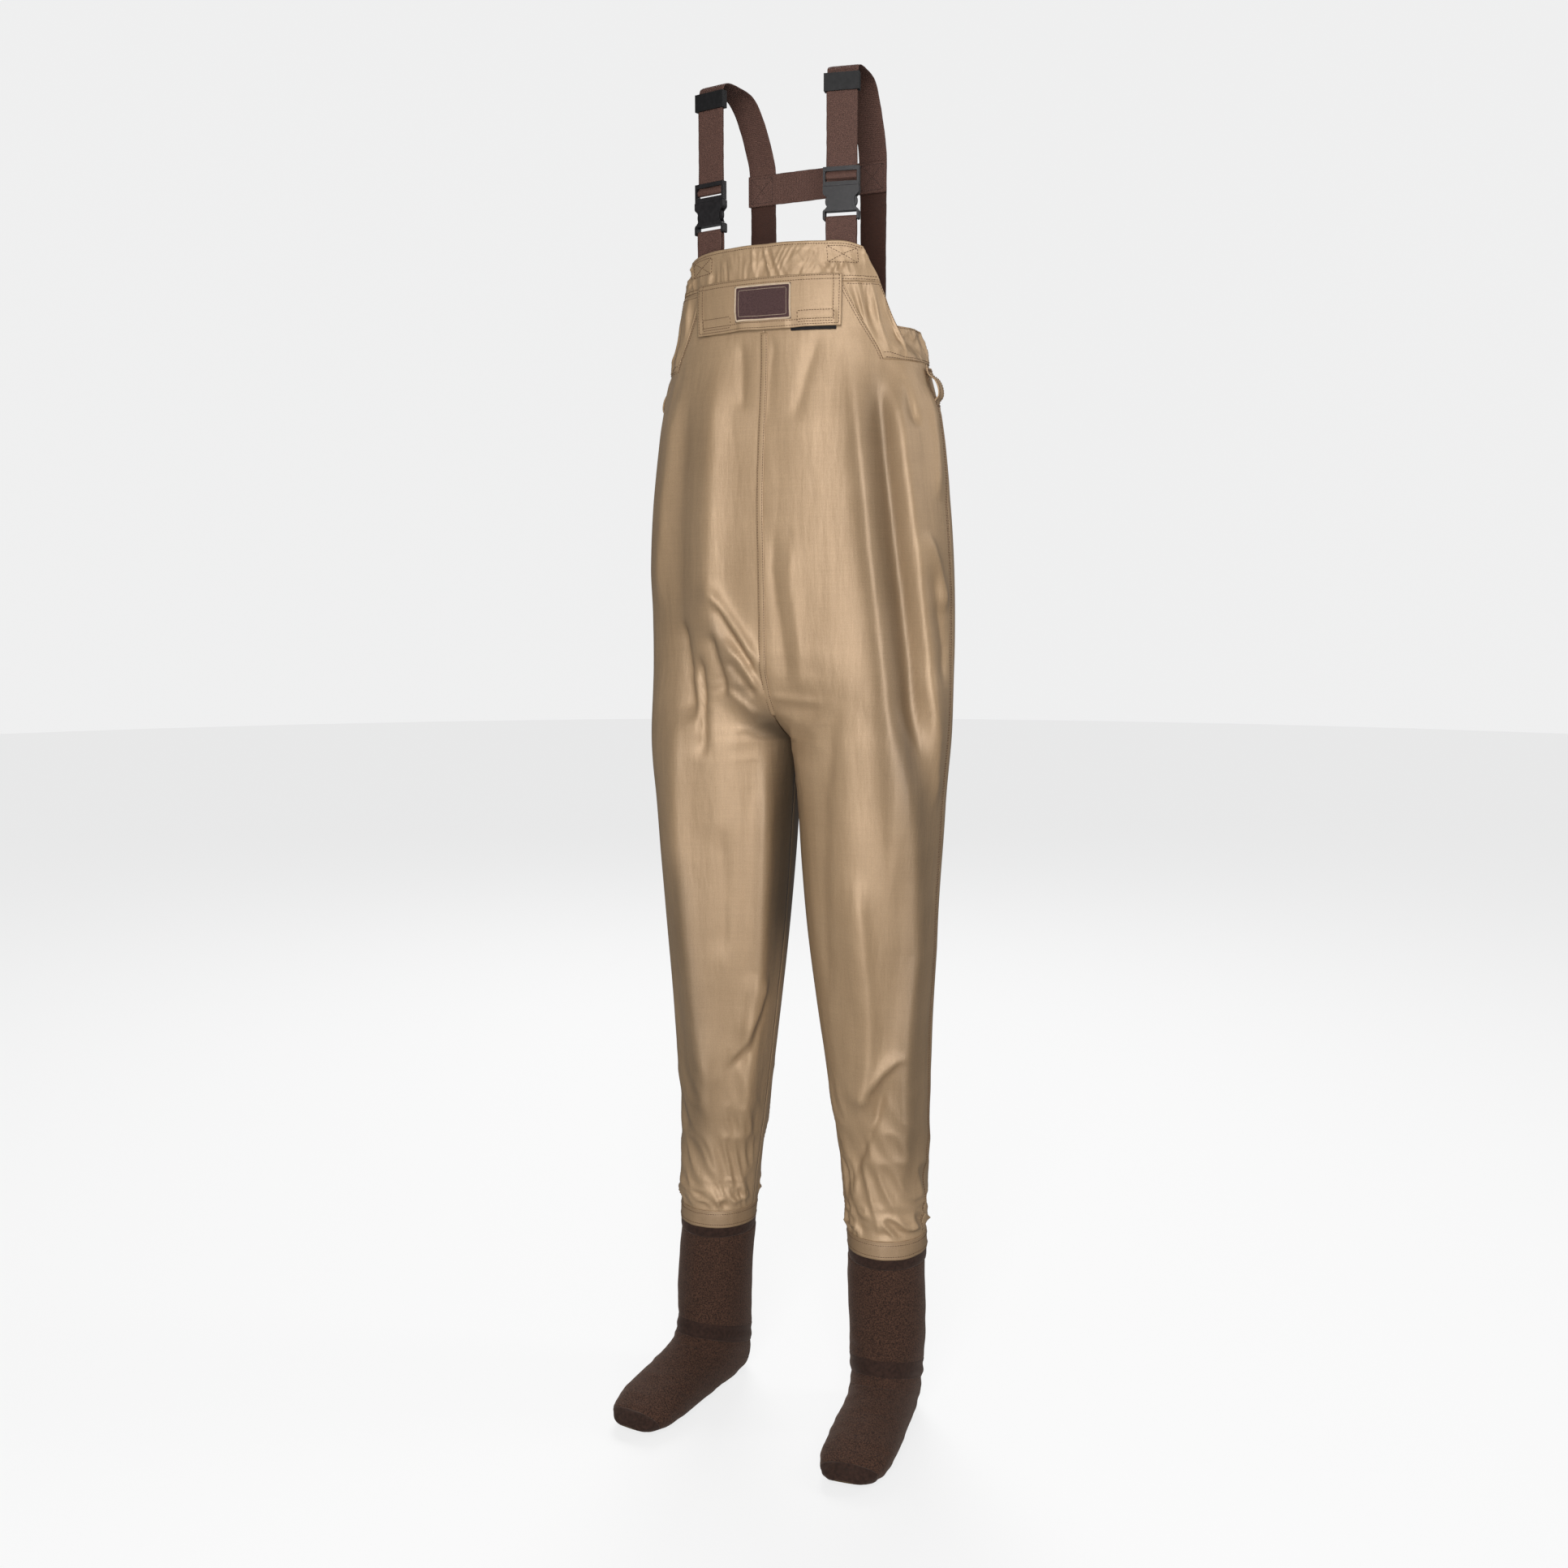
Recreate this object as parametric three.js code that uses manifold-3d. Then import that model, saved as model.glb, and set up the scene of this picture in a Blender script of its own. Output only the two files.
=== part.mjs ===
// Chest waders: a bib and trousers of coated nylon with neoprene stocking feet,
// held up by two webbing braces with side-release buckles.
//
// Millimetres, +Z up.  +X is the wearer's left and the front faces -Y.
// Heights below are measured from the soles.  The finished group is moved down so
// that its origin is where the waders hang: between the undersides of the two
// brace crowns.

import * as THREE from 'three';
import { mergeVertices } from 'three/addons/utils/BufferGeometryUtils.js';
import Module from 'manifold-3d';

const wasm = await Module();
wasm.setup();

// ---------------------------------------------------------------- driving sizes

const GAP = 0.4; // clearance between pieces that touch on the real garment
const CLOTH = 2.4; // wall of the body cloth, seam allowance included
const NEOPRENE = 3.5;

// garment heights above the soles
const BIB_TOP = 1400;
const BIB_CORNER_DROP = 6;
const BAND_SEAM = 1357; // seam under the gathered chest band
const POCKET_SLOT = 5; // open slot under that seam, the pocket's mouth
const SIDE_TOP = 1309;
const CASING_SEAM = 1272; // lower stitch line of the elastic casing
const CROTCH = 838;
const SADDLE = 110; // height over which the body divides into two legs
const SADDLE_REACH = 0.45; // and how far round each quarter the rounding reaches
const HEM_TOP = 234;
const HEM_BOTTOM = 214;
const SOCK_TAPE_BOTTOM = 200;

// braces
const WEB = 35; // webbing width
const WEB_THICK = 1.4;
const BRACE_X = 82;
const BRACE_Y = -64;
const BRACE_YAW = 11; // degrees that each front strap is turned outward
const BACK_X = 72;
const BACK_Y = 54;
const CROSS_BOTTOM = 1480;
const CROSS_TOP = 1516;
const KEEPER_BOTTOM = 1562;
const KEEPER_HEIGHT = 19;
const RUN_TOP = 1582; // where the straight front run ends at the shoulder
const HANG_HEIGHT = 1592; // underside of the crowns

// side-release buckle, heights measured from the bottom of its shell
const BUCKLE_BOTTOM = 1424;
const BUCKLE_WIDTH = 41;
const SHELL_THICK = 9;
const SHELL_HEIGHT = 36;
const SHELL_WALL = 1.8;
const BAR = 2.6; // height of a webbing bar
const BAR_HALF = 1.1; // half its thickness
const MALE_THICK = 7;
const MALE_HEIGHT = 20.5;
const MALE_BOTTOM = SHELL_HEIGHT + 0.5;

// pocket flap
const FLAP_TOP = 1363;
const FLAP_BOTTOM = 1306;
const FLAP_HALF = 88;
const PATCH_HALF = 34;
const PATCH_TOP = 1355;
const PATCH_BOTTOM = 1316;
const TAB_LENGTH = 50;
const TAB_HEIGHT = 16;
const TAB_CENTRE = 58;

const TORSO_POWER = 2.2; // how square the body's cross-section is
const LEG_SPACING = 0.8; // draws the leg's points toward the outseam, to suit the body's

// height, half width, front depth, back depth
const TORSO = [
  [838, 187.5, 90, 106],
  [886, 190, 97, 114],
  [964, 191.5, 99, 120],
  [1042, 190.5, 102, 118],
  [1118, 186, 104, 110],
  [1195, 178, 99, 96],
  [1232, 171, 95, 86],
  [1272, 160, 92, 75],
  [1310, 149, 92, 66],
  [1357, 143, 92, 62],
  [1410, 136, 91, 58],
];

// height, centre x, half width, front depth, back depth, centre y
const LEG = [
  [200, 117.5, 47.5, 48.5, 48.5, 11],
  [234, 116, 48.5, 49, 49, 12],
  [281, 113, 50, 51, 51, 14],
  [333, 109, 53, 54, 54, 15],
  [414, 104, 59.5, 60, 60, 13],
  [500, 99, 66.5, 67, 67, 9],
  [600, 95, 75.5, 76, 76, 5],
  [686, 93.5, 82, 82, 84, 3],
  [767, 93.5, 87.5, 86, 94, 2],
  [838, 94, 93.6, 90, 104, 0],
  [948, 95, 94.6, 92, 110, 0],
];

// stocking foot, in its own frame: front point (forward, height), back point
// (forward, height), half width, sideways shift
const FOOT_X = 121;
const FOOT_HEADING = 7; // degrees that the toes point outward
const SOCK = [
  [37.5, 200, -59.5, 200, 47.5, -3.5],
  [42, 150, -55, 150, 47.5, -1.5],
  [44, 112, -55, 104, 47, 0],
  [48, 90, -58, 58, 45, 0],
  [56, 74, -60, 30, 43, 0],
  [67, 66, -53, 6, 41, 0],
  [82, 60, -22, -2.5, 40, 1],
  [102, 54, 20, -2.5, 40.5, 1],
  [122, 48, 62, -2.5, 41.5, 1],
  [142, 42, 102, -2.5, 42, 1],
  [160, 35, 136, -2, 40, 0],
  [173, 27, 160, 1, 34, -1],
  [181, 18, 175, 5, 24, -2],
  [184.5, 11.8, 184.5, 10.6, 12, -3],
];
const ANKLE_TAPE_START = 3; // indices along SOCK
const ANKLE_TAPE_END = 4;
const TOE_TAPE_START = 11;
const TOE_END = 13;
const SOLE_START = 5;
const SOLE_EDGE = 128; // degrees round the section from the top to the sole's edge

// ------------------------------------------------------------------- materials

const material = (colour, roughness) => new THREE.MeshStandardMaterial({ color: colour, roughness, metalness: 0 });
const NYLON = material(0xb99c7a, 0.55);
const NYLON_SHADE = material(0xa88a68, 0.6);
const LABEL = material(0x66514c, 0.6);
const HOOK_TAPE = material(0x191717, 0.9);
const WEBBING = material(0x5f463d, 0.8);
const ELASTIC = material(0x33211b, 0.7);
const PLASTIC = material(0x151515, 0.4);
const SOCK_CLOTH = material(0x3c281d, 0.95);
const SOCK_TAPE = material(0x34231b, 0.9);
const SOLE_CLOTH = material(0x45342a, 0.95);

// --------------------------------------------------------------------- helpers

const radians = THREE.MathUtils.degToRad;
const mix = THREE.MathUtils.lerp;
const clamp = THREE.MathUtils.clamp;

// A smooth curve through one column of a table whose first column is its key.
function along(table, key, column) {
  const last = table.length - 1;
  let i = 0;
  while (i < last - 1 && key > table[i + 1][0]) i += 1;
  const [k0, k1] = [table[i][0], table[i + 1][0]];
  const slope = (a, b) => (table[b][column] - table[a][column]) / (table[b][0] - table[a][0]);
  const span = k1 - k0;
  const m0 = slope(Math.max(i - 1, 0), i + 1) * span;
  const m1 = slope(i, Math.min(i + 2, last)) * span;
  const s = clamp((key - k0) / span, 0, 1);
  const [v0, v1] = [table[i][column], table[i + 1][column]];
  return (2 * s ** 3 - 3 * s ** 2 + 1) * v0 + (s ** 3 - 2 * s ** 2 + s) * m0
    + (3 * s ** 2 - 2 * s ** 3) * v1 + (s ** 3 - s ** 2) * m1;
}

// A closed wall between an outer and an inner grid of points.  Cells left out by
// keep() become openings or steps, and wrap joins the last column to the first.
function wall({ rows, columns, outer, inner, keep = () => true, wrap = false, flip = false }) {
  const points = [];
  for (const surface of [outer, inner]) {
    for (let i = 0; i <= rows; i += 1) {
      for (let j = 0; j <= columns; j += 1) points.push(...surface(i, j).toArray());
    }
  }
  const stride = columns + 1;
  const column = (j) => (wrap ? (j + columns) % columns : j);
  const out = (i, j) => i * stride + column(j);
  const inn = (i, j) => (rows + 1) * stride + out(i, j);
  const held = (i, j) => i >= 0 && i < rows && (wrap || (j >= 0 && j < columns)) && keep(i, column(j));
  const faces = [];
  const quad = (a, b, c, d) => {
    if (flip) faces.push(a, c, b, a, d, c);
    else faces.push(a, b, c, a, c, d);
  };
  for (let i = 0; i < rows; i += 1) {
    for (let j = 0; j < columns; j += 1) {
      if (!held(i, j)) continue;
      quad(out(i, j), out(i, j + 1), out(i + 1, j + 1), out(i + 1, j));
      quad(inn(i, j), inn(i + 1, j), inn(i + 1, j + 1), inn(i, j + 1));
      if (!held(i - 1, j)) quad(out(i, j), inn(i, j), inn(i, j + 1), out(i, j + 1));
      if (!held(i + 1, j)) quad(out(i + 1, j), out(i + 1, j + 1), inn(i + 1, j + 1), inn(i + 1, j));
      if (!held(i, j - 1)) quad(out(i, j), out(i + 1, j), inn(i + 1, j), inn(i, j));
      if (!held(i, j + 1)) quad(out(i, j + 1), inn(i, j + 1), inn(i + 1, j + 1), out(i + 1, j + 1));
    }
  }
  const geometry = new THREE.BufferGeometry();
  geometry.setAttribute('position', new THREE.Float32BufferAttribute(points, 3));
  geometry.setIndex(faces);
  const flat = geometry.toNonIndexed();
  return mergeVertices(flat, 1e-4);
}

// A flat band swept along a smooth path.  Each station is x, y, height and the
// yaw of the band's width in degrees.
function ribbon(stations, width, thickness, segments, arch = 'centripetal') {
  const path = new THREE.CatmullRomCurve3(stations.map(([x, y, z]) => new THREE.Vector3(x, y, z)), false, arch);
  const ring = [];
  for (let i = 0; i <= segments; i += 1) {
    const u = i / segments;
    const at = u * (stations.length - 1);
    const k = Math.min(Math.floor(at), stations.length - 2);
    const yaw = radians(mix(stations[k][3], stations[k + 1][3], at - k));
    const centre = path.getPoint(u);
    const tangent = path.getTangent(u);
    const across = new THREE.Vector3(Math.cos(yaw), Math.sin(yaw), 0);
    across.addScaledVector(tangent, -across.dot(tangent)).normalize();
    const face = new THREE.Vector3().crossVectors(tangent, across);
    ring.push((sideways, outward) => centre.clone()
      .addScaledVector(across, sideways * width / 2)
      .addScaledVector(face, outward * thickness / 2));
  }
  return wall({
    rows: segments,
    columns: 1,
    outer: (i, j) => ring[i](1 - 2 * j, 1),
    inner: (i, j) => ring[i](1 - 2 * j, -1),
  });
}

// Manifold solid from a three.js geometry, and back again.
function solid(geometry) {
  const bare = geometry.clone();
  bare.deleteAttribute('normal');
  bare.deleteAttribute('uv');
  const merged = mergeVertices(bare, 1e-4);
  return new wasm.Manifold(new wasm.Mesh({
    numProp: 3,
    vertProperties: new Float32Array(merged.attributes.position.array),
    triVerts: new Uint32Array(merged.index.array),
  }));
}

function geometryOf(manifold) {
  const mesh = manifold.getMesh();
  const geometry = new THREE.BufferGeometry();
  geometry.setAttribute('position', new THREE.BufferAttribute(mesh.vertProperties, 3));
  geometry.setIndex(new THREE.BufferAttribute(mesh.triVerts, 1));
  return geometry;
}

// A box between two corners, and an outline in x and z given a thickness in y.
function box(low, high) {
  const size = high.map((value, i) => value - low[i]);
  return new THREE.BoxGeometry(...size).translate(...low.map((value, i) => value + size[i] / 2));
}

function plate(outline, thickness, curveSegments = 5) {
  const geometry = new THREE.ExtrudeGeometry(outline, { depth: thickness, bevelEnabled: false, curveSegments });
  return geometry.translate(0, 0, -thickness / 2).rotateX(Math.PI / 2);
}

const waders = new THREE.Group();
waders.position.z = -HANG_HEIGHT;

function add(name, geometry, look, parent = waders) {
  const mesh = new THREE.Mesh(geometry, look);
  mesh.name = name;
  parent.add(mesh);
  return mesh;
}

const SIDES = [{ name: 'left', sign: 1 }, { name: 'right', sign: -1 }];

// ------------------------------------------------------- the body's two surfaces

// One quarter of the body above the crotch, from the centre seam (t = 0) to the
// side (t = 1).  face is -1 at the front and +1 at the back.
function torsoPoint(t, h, face, inset) {
  const half = along(TORSO, h, 1) - inset;
  const depth = along(TORSO, h, face < 0 ? 2 : 3) - inset;
  const angle = t * Math.PI / 2;
  const power = 2 / TORSO_POWER;
  const x = half * Math.abs(Math.sin(angle)) ** power * Math.sign(t);
  return new THREE.Vector3(x, face * depth * Math.cos(angle) ** power, h);
}

// Front or back half of one leg, from the inseam (t = 0) to the outseam (t = 1).
function legPoint(t, h, face, inset) {
  const half = along(LEG, h, 2) - inset;
  const depth = along(LEG, h, face < 0 ? 3 : 4) - inset;
  const angle = t ** LEG_SPACING * Math.PI;
  const x = along(LEG, h, 1) - half * Math.cos(angle);
  return new THREE.Vector3(x, along(LEG, h, 5) + face * depth * Math.sin(angle), h);
}

// The two meet in a rounded saddle at the crotch, and blend gently to its sides.
function bodyPoint(t, h, face, inset = 0) {
  const rise = clamp((h - CROTCH - inset) / (SADDLE - inset), 0, 1);
  const saddle = 1 - Math.sqrt(1 - (1 - rise) ** 2);
  const gentle = 1 - THREE.MathUtils.smoothstep(rise, 0, 1);
  const leg = mix(saddle, gentle, THREE.MathUtils.smoothstep(t, 0, SADDLE_REACH));
  if (leg === 0) return torsoPoint(t, h, face, inset);
  if (leg === 1) return legPoint(t, h, face, inset);
  return torsoPoint(t, h, face, inset).lerp(legPoint(t, h, face, inset), leg);
}

// A point that stands off the body, at x (front or back) and height h.
function overlayPoint(x, h, face, off) {
  const half = along(TORSO, h, 1);
  const depth = along(TORSO, h, face < 0 ? 2 : 3);
  const u = Math.abs(x) / half;
  const y = depth * (1 - u ** TORSO_POWER) ** (1 / TORSO_POWER);
  const steep = Math.sign(x) * (depth / half) * u ** (TORSO_POWER - 1) * (y / depth) ** (1 - TORSO_POWER);
  const normal = new THREE.Vector3(steep, face, 0).normalize();
  return new THREE.Vector3(x, face * y, h).addScaledVector(normal, off);
}

// A patch of cloth laid on the body between two stand-offs.
function overlay({ x0, x1, low, high, near, far, columns, rows = 1, face = -1 }) {
  const point = (off) => (i, j) => overlayPoint(mix(x0, x1, j / columns), mix(low, high, i / rows), face, off);
  return wall({ rows, columns, outer: point(far), inner: point(near), flip: face > 0 });
}

// ------------------------------------------------------------------ body panels

const LEG_ROWS = [HEM_TOP + GAP, 258, 282, 310, 345, 390, 440, 500, 560, 620, 686, 740, 790, CROTCH];
const SADDLE_ROWS = [0.03, 0.12, 0.28, 0.5, 0.75, 1].map((share) => CROTCH + SADDLE * share);
const TRUNK_ROWS = [990, 1042, 1095, 1150, 1195, 1232, CASING_SEAM - GAP];
const BIB_ROWS = [1290, 1322, BAND_SEAM - POCKET_SLOT];
const PANEL_COLUMNS = 8;
const BIB_COLUMNS = 5;

// The seam between the bib and the side gusset, as a share of the front quarter.
const GUSSET_SEAM = [[CASING_SEAM, 0.6], [1290, 0.571], [1322, 0.49], [BAND_SEAM, 0.4]];
const GUSSET_BACK = 0.5;

function gussetSeam(h) {
  return along(GUSSET_SEAM, Math.max(h, CASING_SEAM), 1);
}

function seamed(point, sign, face) {
  point.y += face * GAP / 2;
  point.x = sign * Math.max(point.x, GAP / 2);
  return point;
}

function frontPanel(sign) {
  const heights = [...LEG_ROWS, ...SADDLE_ROWS, ...TRUNK_ROWS, ...BIB_ROWS];
  const shoulderRow = heights.length - 1 - BIB_ROWS.length;
  const surface = (inset) => (i, j) => {
    const seam = gussetSeam(heights[i]);
    const t = j <= BIB_COLUMNS
      ? seam * j / BIB_COLUMNS
      : mix(seam, 1, (j - BIB_COLUMNS) / (PANEL_COLUMNS - BIB_COLUMNS));
    return seamed(bodyPoint(t, heights[i], -1, inset), sign, -1);
  };
  return wall({
    rows: heights.length - 1,
    columns: PANEL_COLUMNS,
    outer: surface(0),
    inner: surface(CLOTH),
    keep: (i, j) => i < shoulderRow || j < BIB_COLUMNS,
    flip: sign < 0,
  });
}

function backPanel(sign) {
  const heights = [...LEG_ROWS, ...SADDLE_ROWS, ...TRUNK_ROWS];
  const surface = (inset) => (i, j) => seamed(bodyPoint(j / PANEL_COLUMNS, heights[i], 1, inset), sign, 1);
  return wall({
    rows: heights.length - 1,
    columns: PANEL_COLUMNS,
    outer: surface(0),
    inner: surface(CLOTH),
    flip: sign > 0,
  });
}

for (const { name, sign } of SIDES) {
  add(`${name}_front_panel`, frontPanel(sign), NYLON);
  add(`${name}_back_panel`, backPanel(sign), NYLON_SHADE);
}

// ------------------------------------------------------- bands along the top edge

// Half width of the bib as a share of the front quarter.
const BIB_EDGE = [[SIDE_TOP, 0.749], [BAND_SEAM, 0.645], [BIB_TOP, 0.53]];

function bibEdge(h) {
  return along(BIB_EDGE, h, 1);
}

function chestBand() {
  const rows = 2;
  const columns = 14;
  const surface = (inset) => (i, j) => {
    const level = i / rows;
    const across = 2 * j / columns - 1;
    const low = BAND_SEAM + GAP;
    const h = mix(low, BIB_TOP - BIB_CORNER_DROP * Math.abs(across) ** 6, level);
    return torsoPoint(bibEdge(h) * across, h, -1, inset);
  };
  return wall({ rows, columns, outer: surface(0), inner: surface(CLOTH) });
}

// The gusset runs from the bib seam round the side to the back band.  Its place
// round the body is 0 at the front centre, 1 at the side and 2 at the back centre.
function sideGusset(sign) {
  const levels = [CASING_SEAM, 1290, 1322, BAND_SEAM - GAP];
  const columns = 12;
  const topEdge = (place) => {
    const slope = (place - BIB_EDGE[1][1]) / (BIB_EDGE[0][1] - BIB_EDGE[1][1]);
    return mix(BAND_SEAM - GAP, SIDE_TOP, clamp(slope, 0, 1));
  };
  const surface = (inset) => (i, j) => {
    const start = gussetSeam(levels[i]) + 0.004;
    const place = mix(start, 2 - GUSSET_BACK - 0.002, j / columns);
    const share = (levels[i] - CASING_SEAM) / (BAND_SEAM - GAP - CASING_SEAM);
    const h = mix(CASING_SEAM, topEdge(place), share);
    const face = place <= 1 ? -1 : 1;
    const point = torsoPoint(place <= 1 ? place : 2 - place, h, face, inset);
    point.x *= sign;
    return point;
  };
  return wall({ rows: 3, columns, outer: surface(0), inner: surface(CLOTH), flip: sign < 0 });
}

function backBand() {
  const columns = 10;
  const surface = (inset) => (i, j) => {
    const h = mix(CASING_SEAM, SIDE_TOP, i / 2);
    return torsoPoint(mix(-GUSSET_BACK, GUSSET_BACK, j / columns), h, 1, inset);
  };
  return wall({ rows: 2, columns, outer: surface(0), inner: surface(CLOTH), flip: true });
}

add('chest_band', chestBand(), NYLON);
add('left_side_gusset', sideGusset(1), NYLON_SHADE);
add('right_side_gusset', sideGusset(-1), NYLON_SHADE);
add('back_band', backBand(), NYLON_SHADE);

// Felled seams down the centre of the front and the back.
const FELL_HALF = 4.5;
const FELL_THICK = 0.8;

function felledSeam(face, low, high) {
  const rows = 10;
  const surface = (off) => (i, j) => {
    const point = bodyPoint(0, mix(low, high, i / rows), face);
    return new THREE.Vector3(mix(-FELL_HALF, FELL_HALF, j), point.y + face * (off + GAP / 2), point.z);
  };
  return wall({ rows, columns: 1, outer: surface(GAP + FELL_THICK), inner: surface(GAP), flip: face > 0 });
}

add('front_seam_fell', felledSeam(-1, 960, FLAP_BOTTOM - 4), NYLON);
add('back_seam_fell', felledSeam(1, 960, CASING_SEAM - 6), NYLON_SHADE);

// --------------------------------------------------------------------- belt loops

const LOOP_WIDTH = 16;
const LOOP_STAND = 8;
const LOOP_TOP = 1266;
const LOOP_LENGTH = 46;
const LOOP_THICK = 1.6;

// Each loop stands at the middle of a side or of the back, with this outward
// direction in plan.  Its stations run up it: flat on the cloth, out, and flat.
const LOOP_PLACES = { left: [1, 0], right: [-1, 0], back: [0, 1] };
const LOOP_PROFILE = [[0, 0], [0.16, 0], [0.3, 0.75], [0.5, 1], [0.7, 0.75], [0.84, 0], [1, 0]];

for (const [name, [outX, outY]] of Object.entries(LOOP_PLACES)) {
  const over = outY > 0 ? FELL_THICK + GAP : 0;
  const yaw = THREE.MathUtils.radToDeg(Math.atan2(outX, outY));
  const stations = LOOP_PROFILE.map(([up, out]) => {
    const h = LOOP_TOP - LOOP_LENGTH * (1 - up);
    const cloth = along(TORSO, h, outY > 0 ? 3 : 1);
    const reach = cloth + over + GAP + LOOP_THICK + LOOP_STAND * out;
    return [outX * reach, outY * reach, h, yaw];
  });
  add(`${name}_belt_loop`, ribbon(stations, LOOP_WIDTH, LOOP_THICK, 14), NYLON);
}

// ------------------------------------------------------- chest pocket and its flap

const LOOP_TAPE = [GAP, 1.4];
const HOOK_TAPE_LAYER = [1.8, 2.8];
const FLAP_LAYER = [3.2, 4.8];
const PATCH_LAYER = [5.2, 6.2];

add('pocket_flap', overlay({
  x0: -FLAP_HALF, x1: FLAP_HALF, low: FLAP_BOTTOM, high: FLAP_TOP,
  near: FLAP_LAYER[0], far: FLAP_LAYER[1], columns: 12, rows: 2,
}), NYLON);
add('flap_patch', overlay({
  x0: -PATCH_HALF, x1: PATCH_HALF, low: PATCH_BOTTOM, high: PATCH_TOP,
  near: PATCH_LAYER[0], far: PATCH_LAYER[1], columns: 6,
}), LABEL);
for (const { name, sign } of SIDES) {
  const ends = [TAB_CENTRE - TAB_LENGTH / 2, TAB_CENTRE + TAB_LENGTH / 2].map((x) => x * sign);
  const place = { x0: Math.min(...ends), x1: Math.max(...ends), columns: 4 };
  const low = FLAP_BOTTOM - 3;
  add(`${name}_hook_tab`, overlay({
    ...place, low, high: low + TAB_HEIGHT, near: HOOK_TAPE_LAYER[0], far: HOOK_TAPE_LAYER[1],
  }), HOOK_TAPE);
  add(`${name}_loop_tab`, overlay({
    ...place, low, high: low + TAB_HEIGHT, near: LOOP_TAPE[0], far: LOOP_TAPE[1],
  }), HOOK_TAPE);
}

// The bag hangs inside the bib, its mouth behind the slot under the chest band.
const BAG_HALF = 84;
const BAG_DROP = 105;
const BAG_WALL = 1;
const BAG_START = 4.6; // how far inside the bib the bag's front layer hangs
const BAG_DEPTH = 9;
const BAG_EDGE = 2; // depth left at the bag's side seams

function pocketBag() {
  const columns = 8;
  const mouth = BAND_SEAM - POCKET_SLOT - 1;
  const bottom = mouth - BAG_DROP;
  const walk = [[0, mouth], [0, mouth - 50], [0, bottom + 6], [0.5, bottom], [1, bottom + 6], [1, mouth - 50], [1, mouth]];
  const surface = (side) => (i, j) => {
    const [layer, h] = walk[i];
    const across = 2 * j / columns - 1;
    const depth = BAG_EDGE + (BAG_DEPTH - BAG_EDGE) * (1 - across ** 4);
    const shift = side * BAG_WALL / 2 * (1 - 2 * layer);
    const lift = layer === 0.5 ? side * BAG_WALL / 2 : 0;
    const point = overlayPoint(across * BAG_HALF, h, -1, -BAG_START - depth * layer + shift);
    point.z -= lift;
    return point;
  };
  return wall({ rows: walk.length - 1, columns, outer: surface(1), inner: surface(-1), flip: true });
}

add('pocket_bag', pocketBag(), NYLON_SHADE);

// ----------------------------------------------------------------- leg cuffs (hems)

const TUBE_COLUMNS = 16;

// Both halves of the leg in one loop, starting and ending at the inseam.
function legRound(j, h, inset, sign) {
  const share = 2 * j / TUBE_COLUMNS;
  const point = share <= 1 ? legPoint(share, h, -1, inset) : legPoint(2 - share, h, 1, inset);
  point.x *= sign;
  return point;
}

for (const { name, sign } of SIDES) {
  const level = (i) => mix(HEM_BOTTOM + GAP, HEM_TOP, i);
  add(`${name}_leg_cuff`, wall({
    rows: 1,
    columns: TUBE_COLUMNS,
    outer: (i, j) => legRound(j, level(i), 0, sign),
    inner: (i, j) => legRound(j, level(i), CLOTH, sign),
    wrap: true,
    flip: sign < 0,
  }), NYLON);
}

// ------------------------------------------------------------------ stocking feet

const SOCK_KEYED = SOCK.map((row, index) => [index, ...row]);

// station runs along SOCK, and angle goes round from the front or top (0).
function sockPoint(station, angle, inset, sign) {
  const [frontF, frontH, backF, backH, half, shift] = [1, 2, 3, 4, 5, 6].map((c) => along(SOCK_KEYED, station, c));
  const foot = clamp((station - ANKLE_TAPE_END) / 2, 0, 1);
  const top = new THREE.Vector2(frontF, frontH);
  const bottom = new THREE.Vector2(backF, backH);
  const length = top.distanceTo(bottom) / 2;
  const shrink = Math.max(length - inset, length * 0.35) / length;
  const width = Math.max(half - inset, half * 0.35);
  const toe = inset * clamp((station - TOE_TAPE_START + 1) / 3, 0, 1);
  const up = Math.cos(angle);
  const side = Math.sin(angle);
  const power = 2 / mix(2, up < 0 ? 2.9 : 2.2, foot);
  const along2 = Math.sign(up) * Math.abs(up) ** power * shrink;
  const forward = (frontF + backF) / 2 + along2 * (frontF - backF) / 2 - toe;
  const height = (frontH + backH) / 2 + along2 * (frontH - backH) / 2;
  const floor = foot > 0 ? inset * 0.8 : -Infinity;
  const sideways = shift + Math.sign(side) * Math.abs(side) ** power * width;
  const heading = radians(FOOT_HEADING);
  const x = FOOT_X + forward * Math.sin(heading) + sideways * Math.cos(heading);
  const y = -forward * Math.cos(heading) + sideways * Math.sin(heading);
  return new THREE.Vector3(sign * x, y, Math.max(height, floor));
}

function sockPatch({ from, to, rows, edge, wrap = false, inset = 0, thick = NEOPRENE, columns, sign }) {
  const angle = (j) => (wrap ? 360 * j / columns : mix(edge[0], edge[1], j / columns));
  const surface = (depth) => (i, j) => sockPoint(mix(from, to, i / rows), radians(angle(j)), depth, sign);
  return wall({ rows, columns, outer: surface(inset), inner: surface(inset + thick), wrap, flip: sign > 0 });
}

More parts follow.
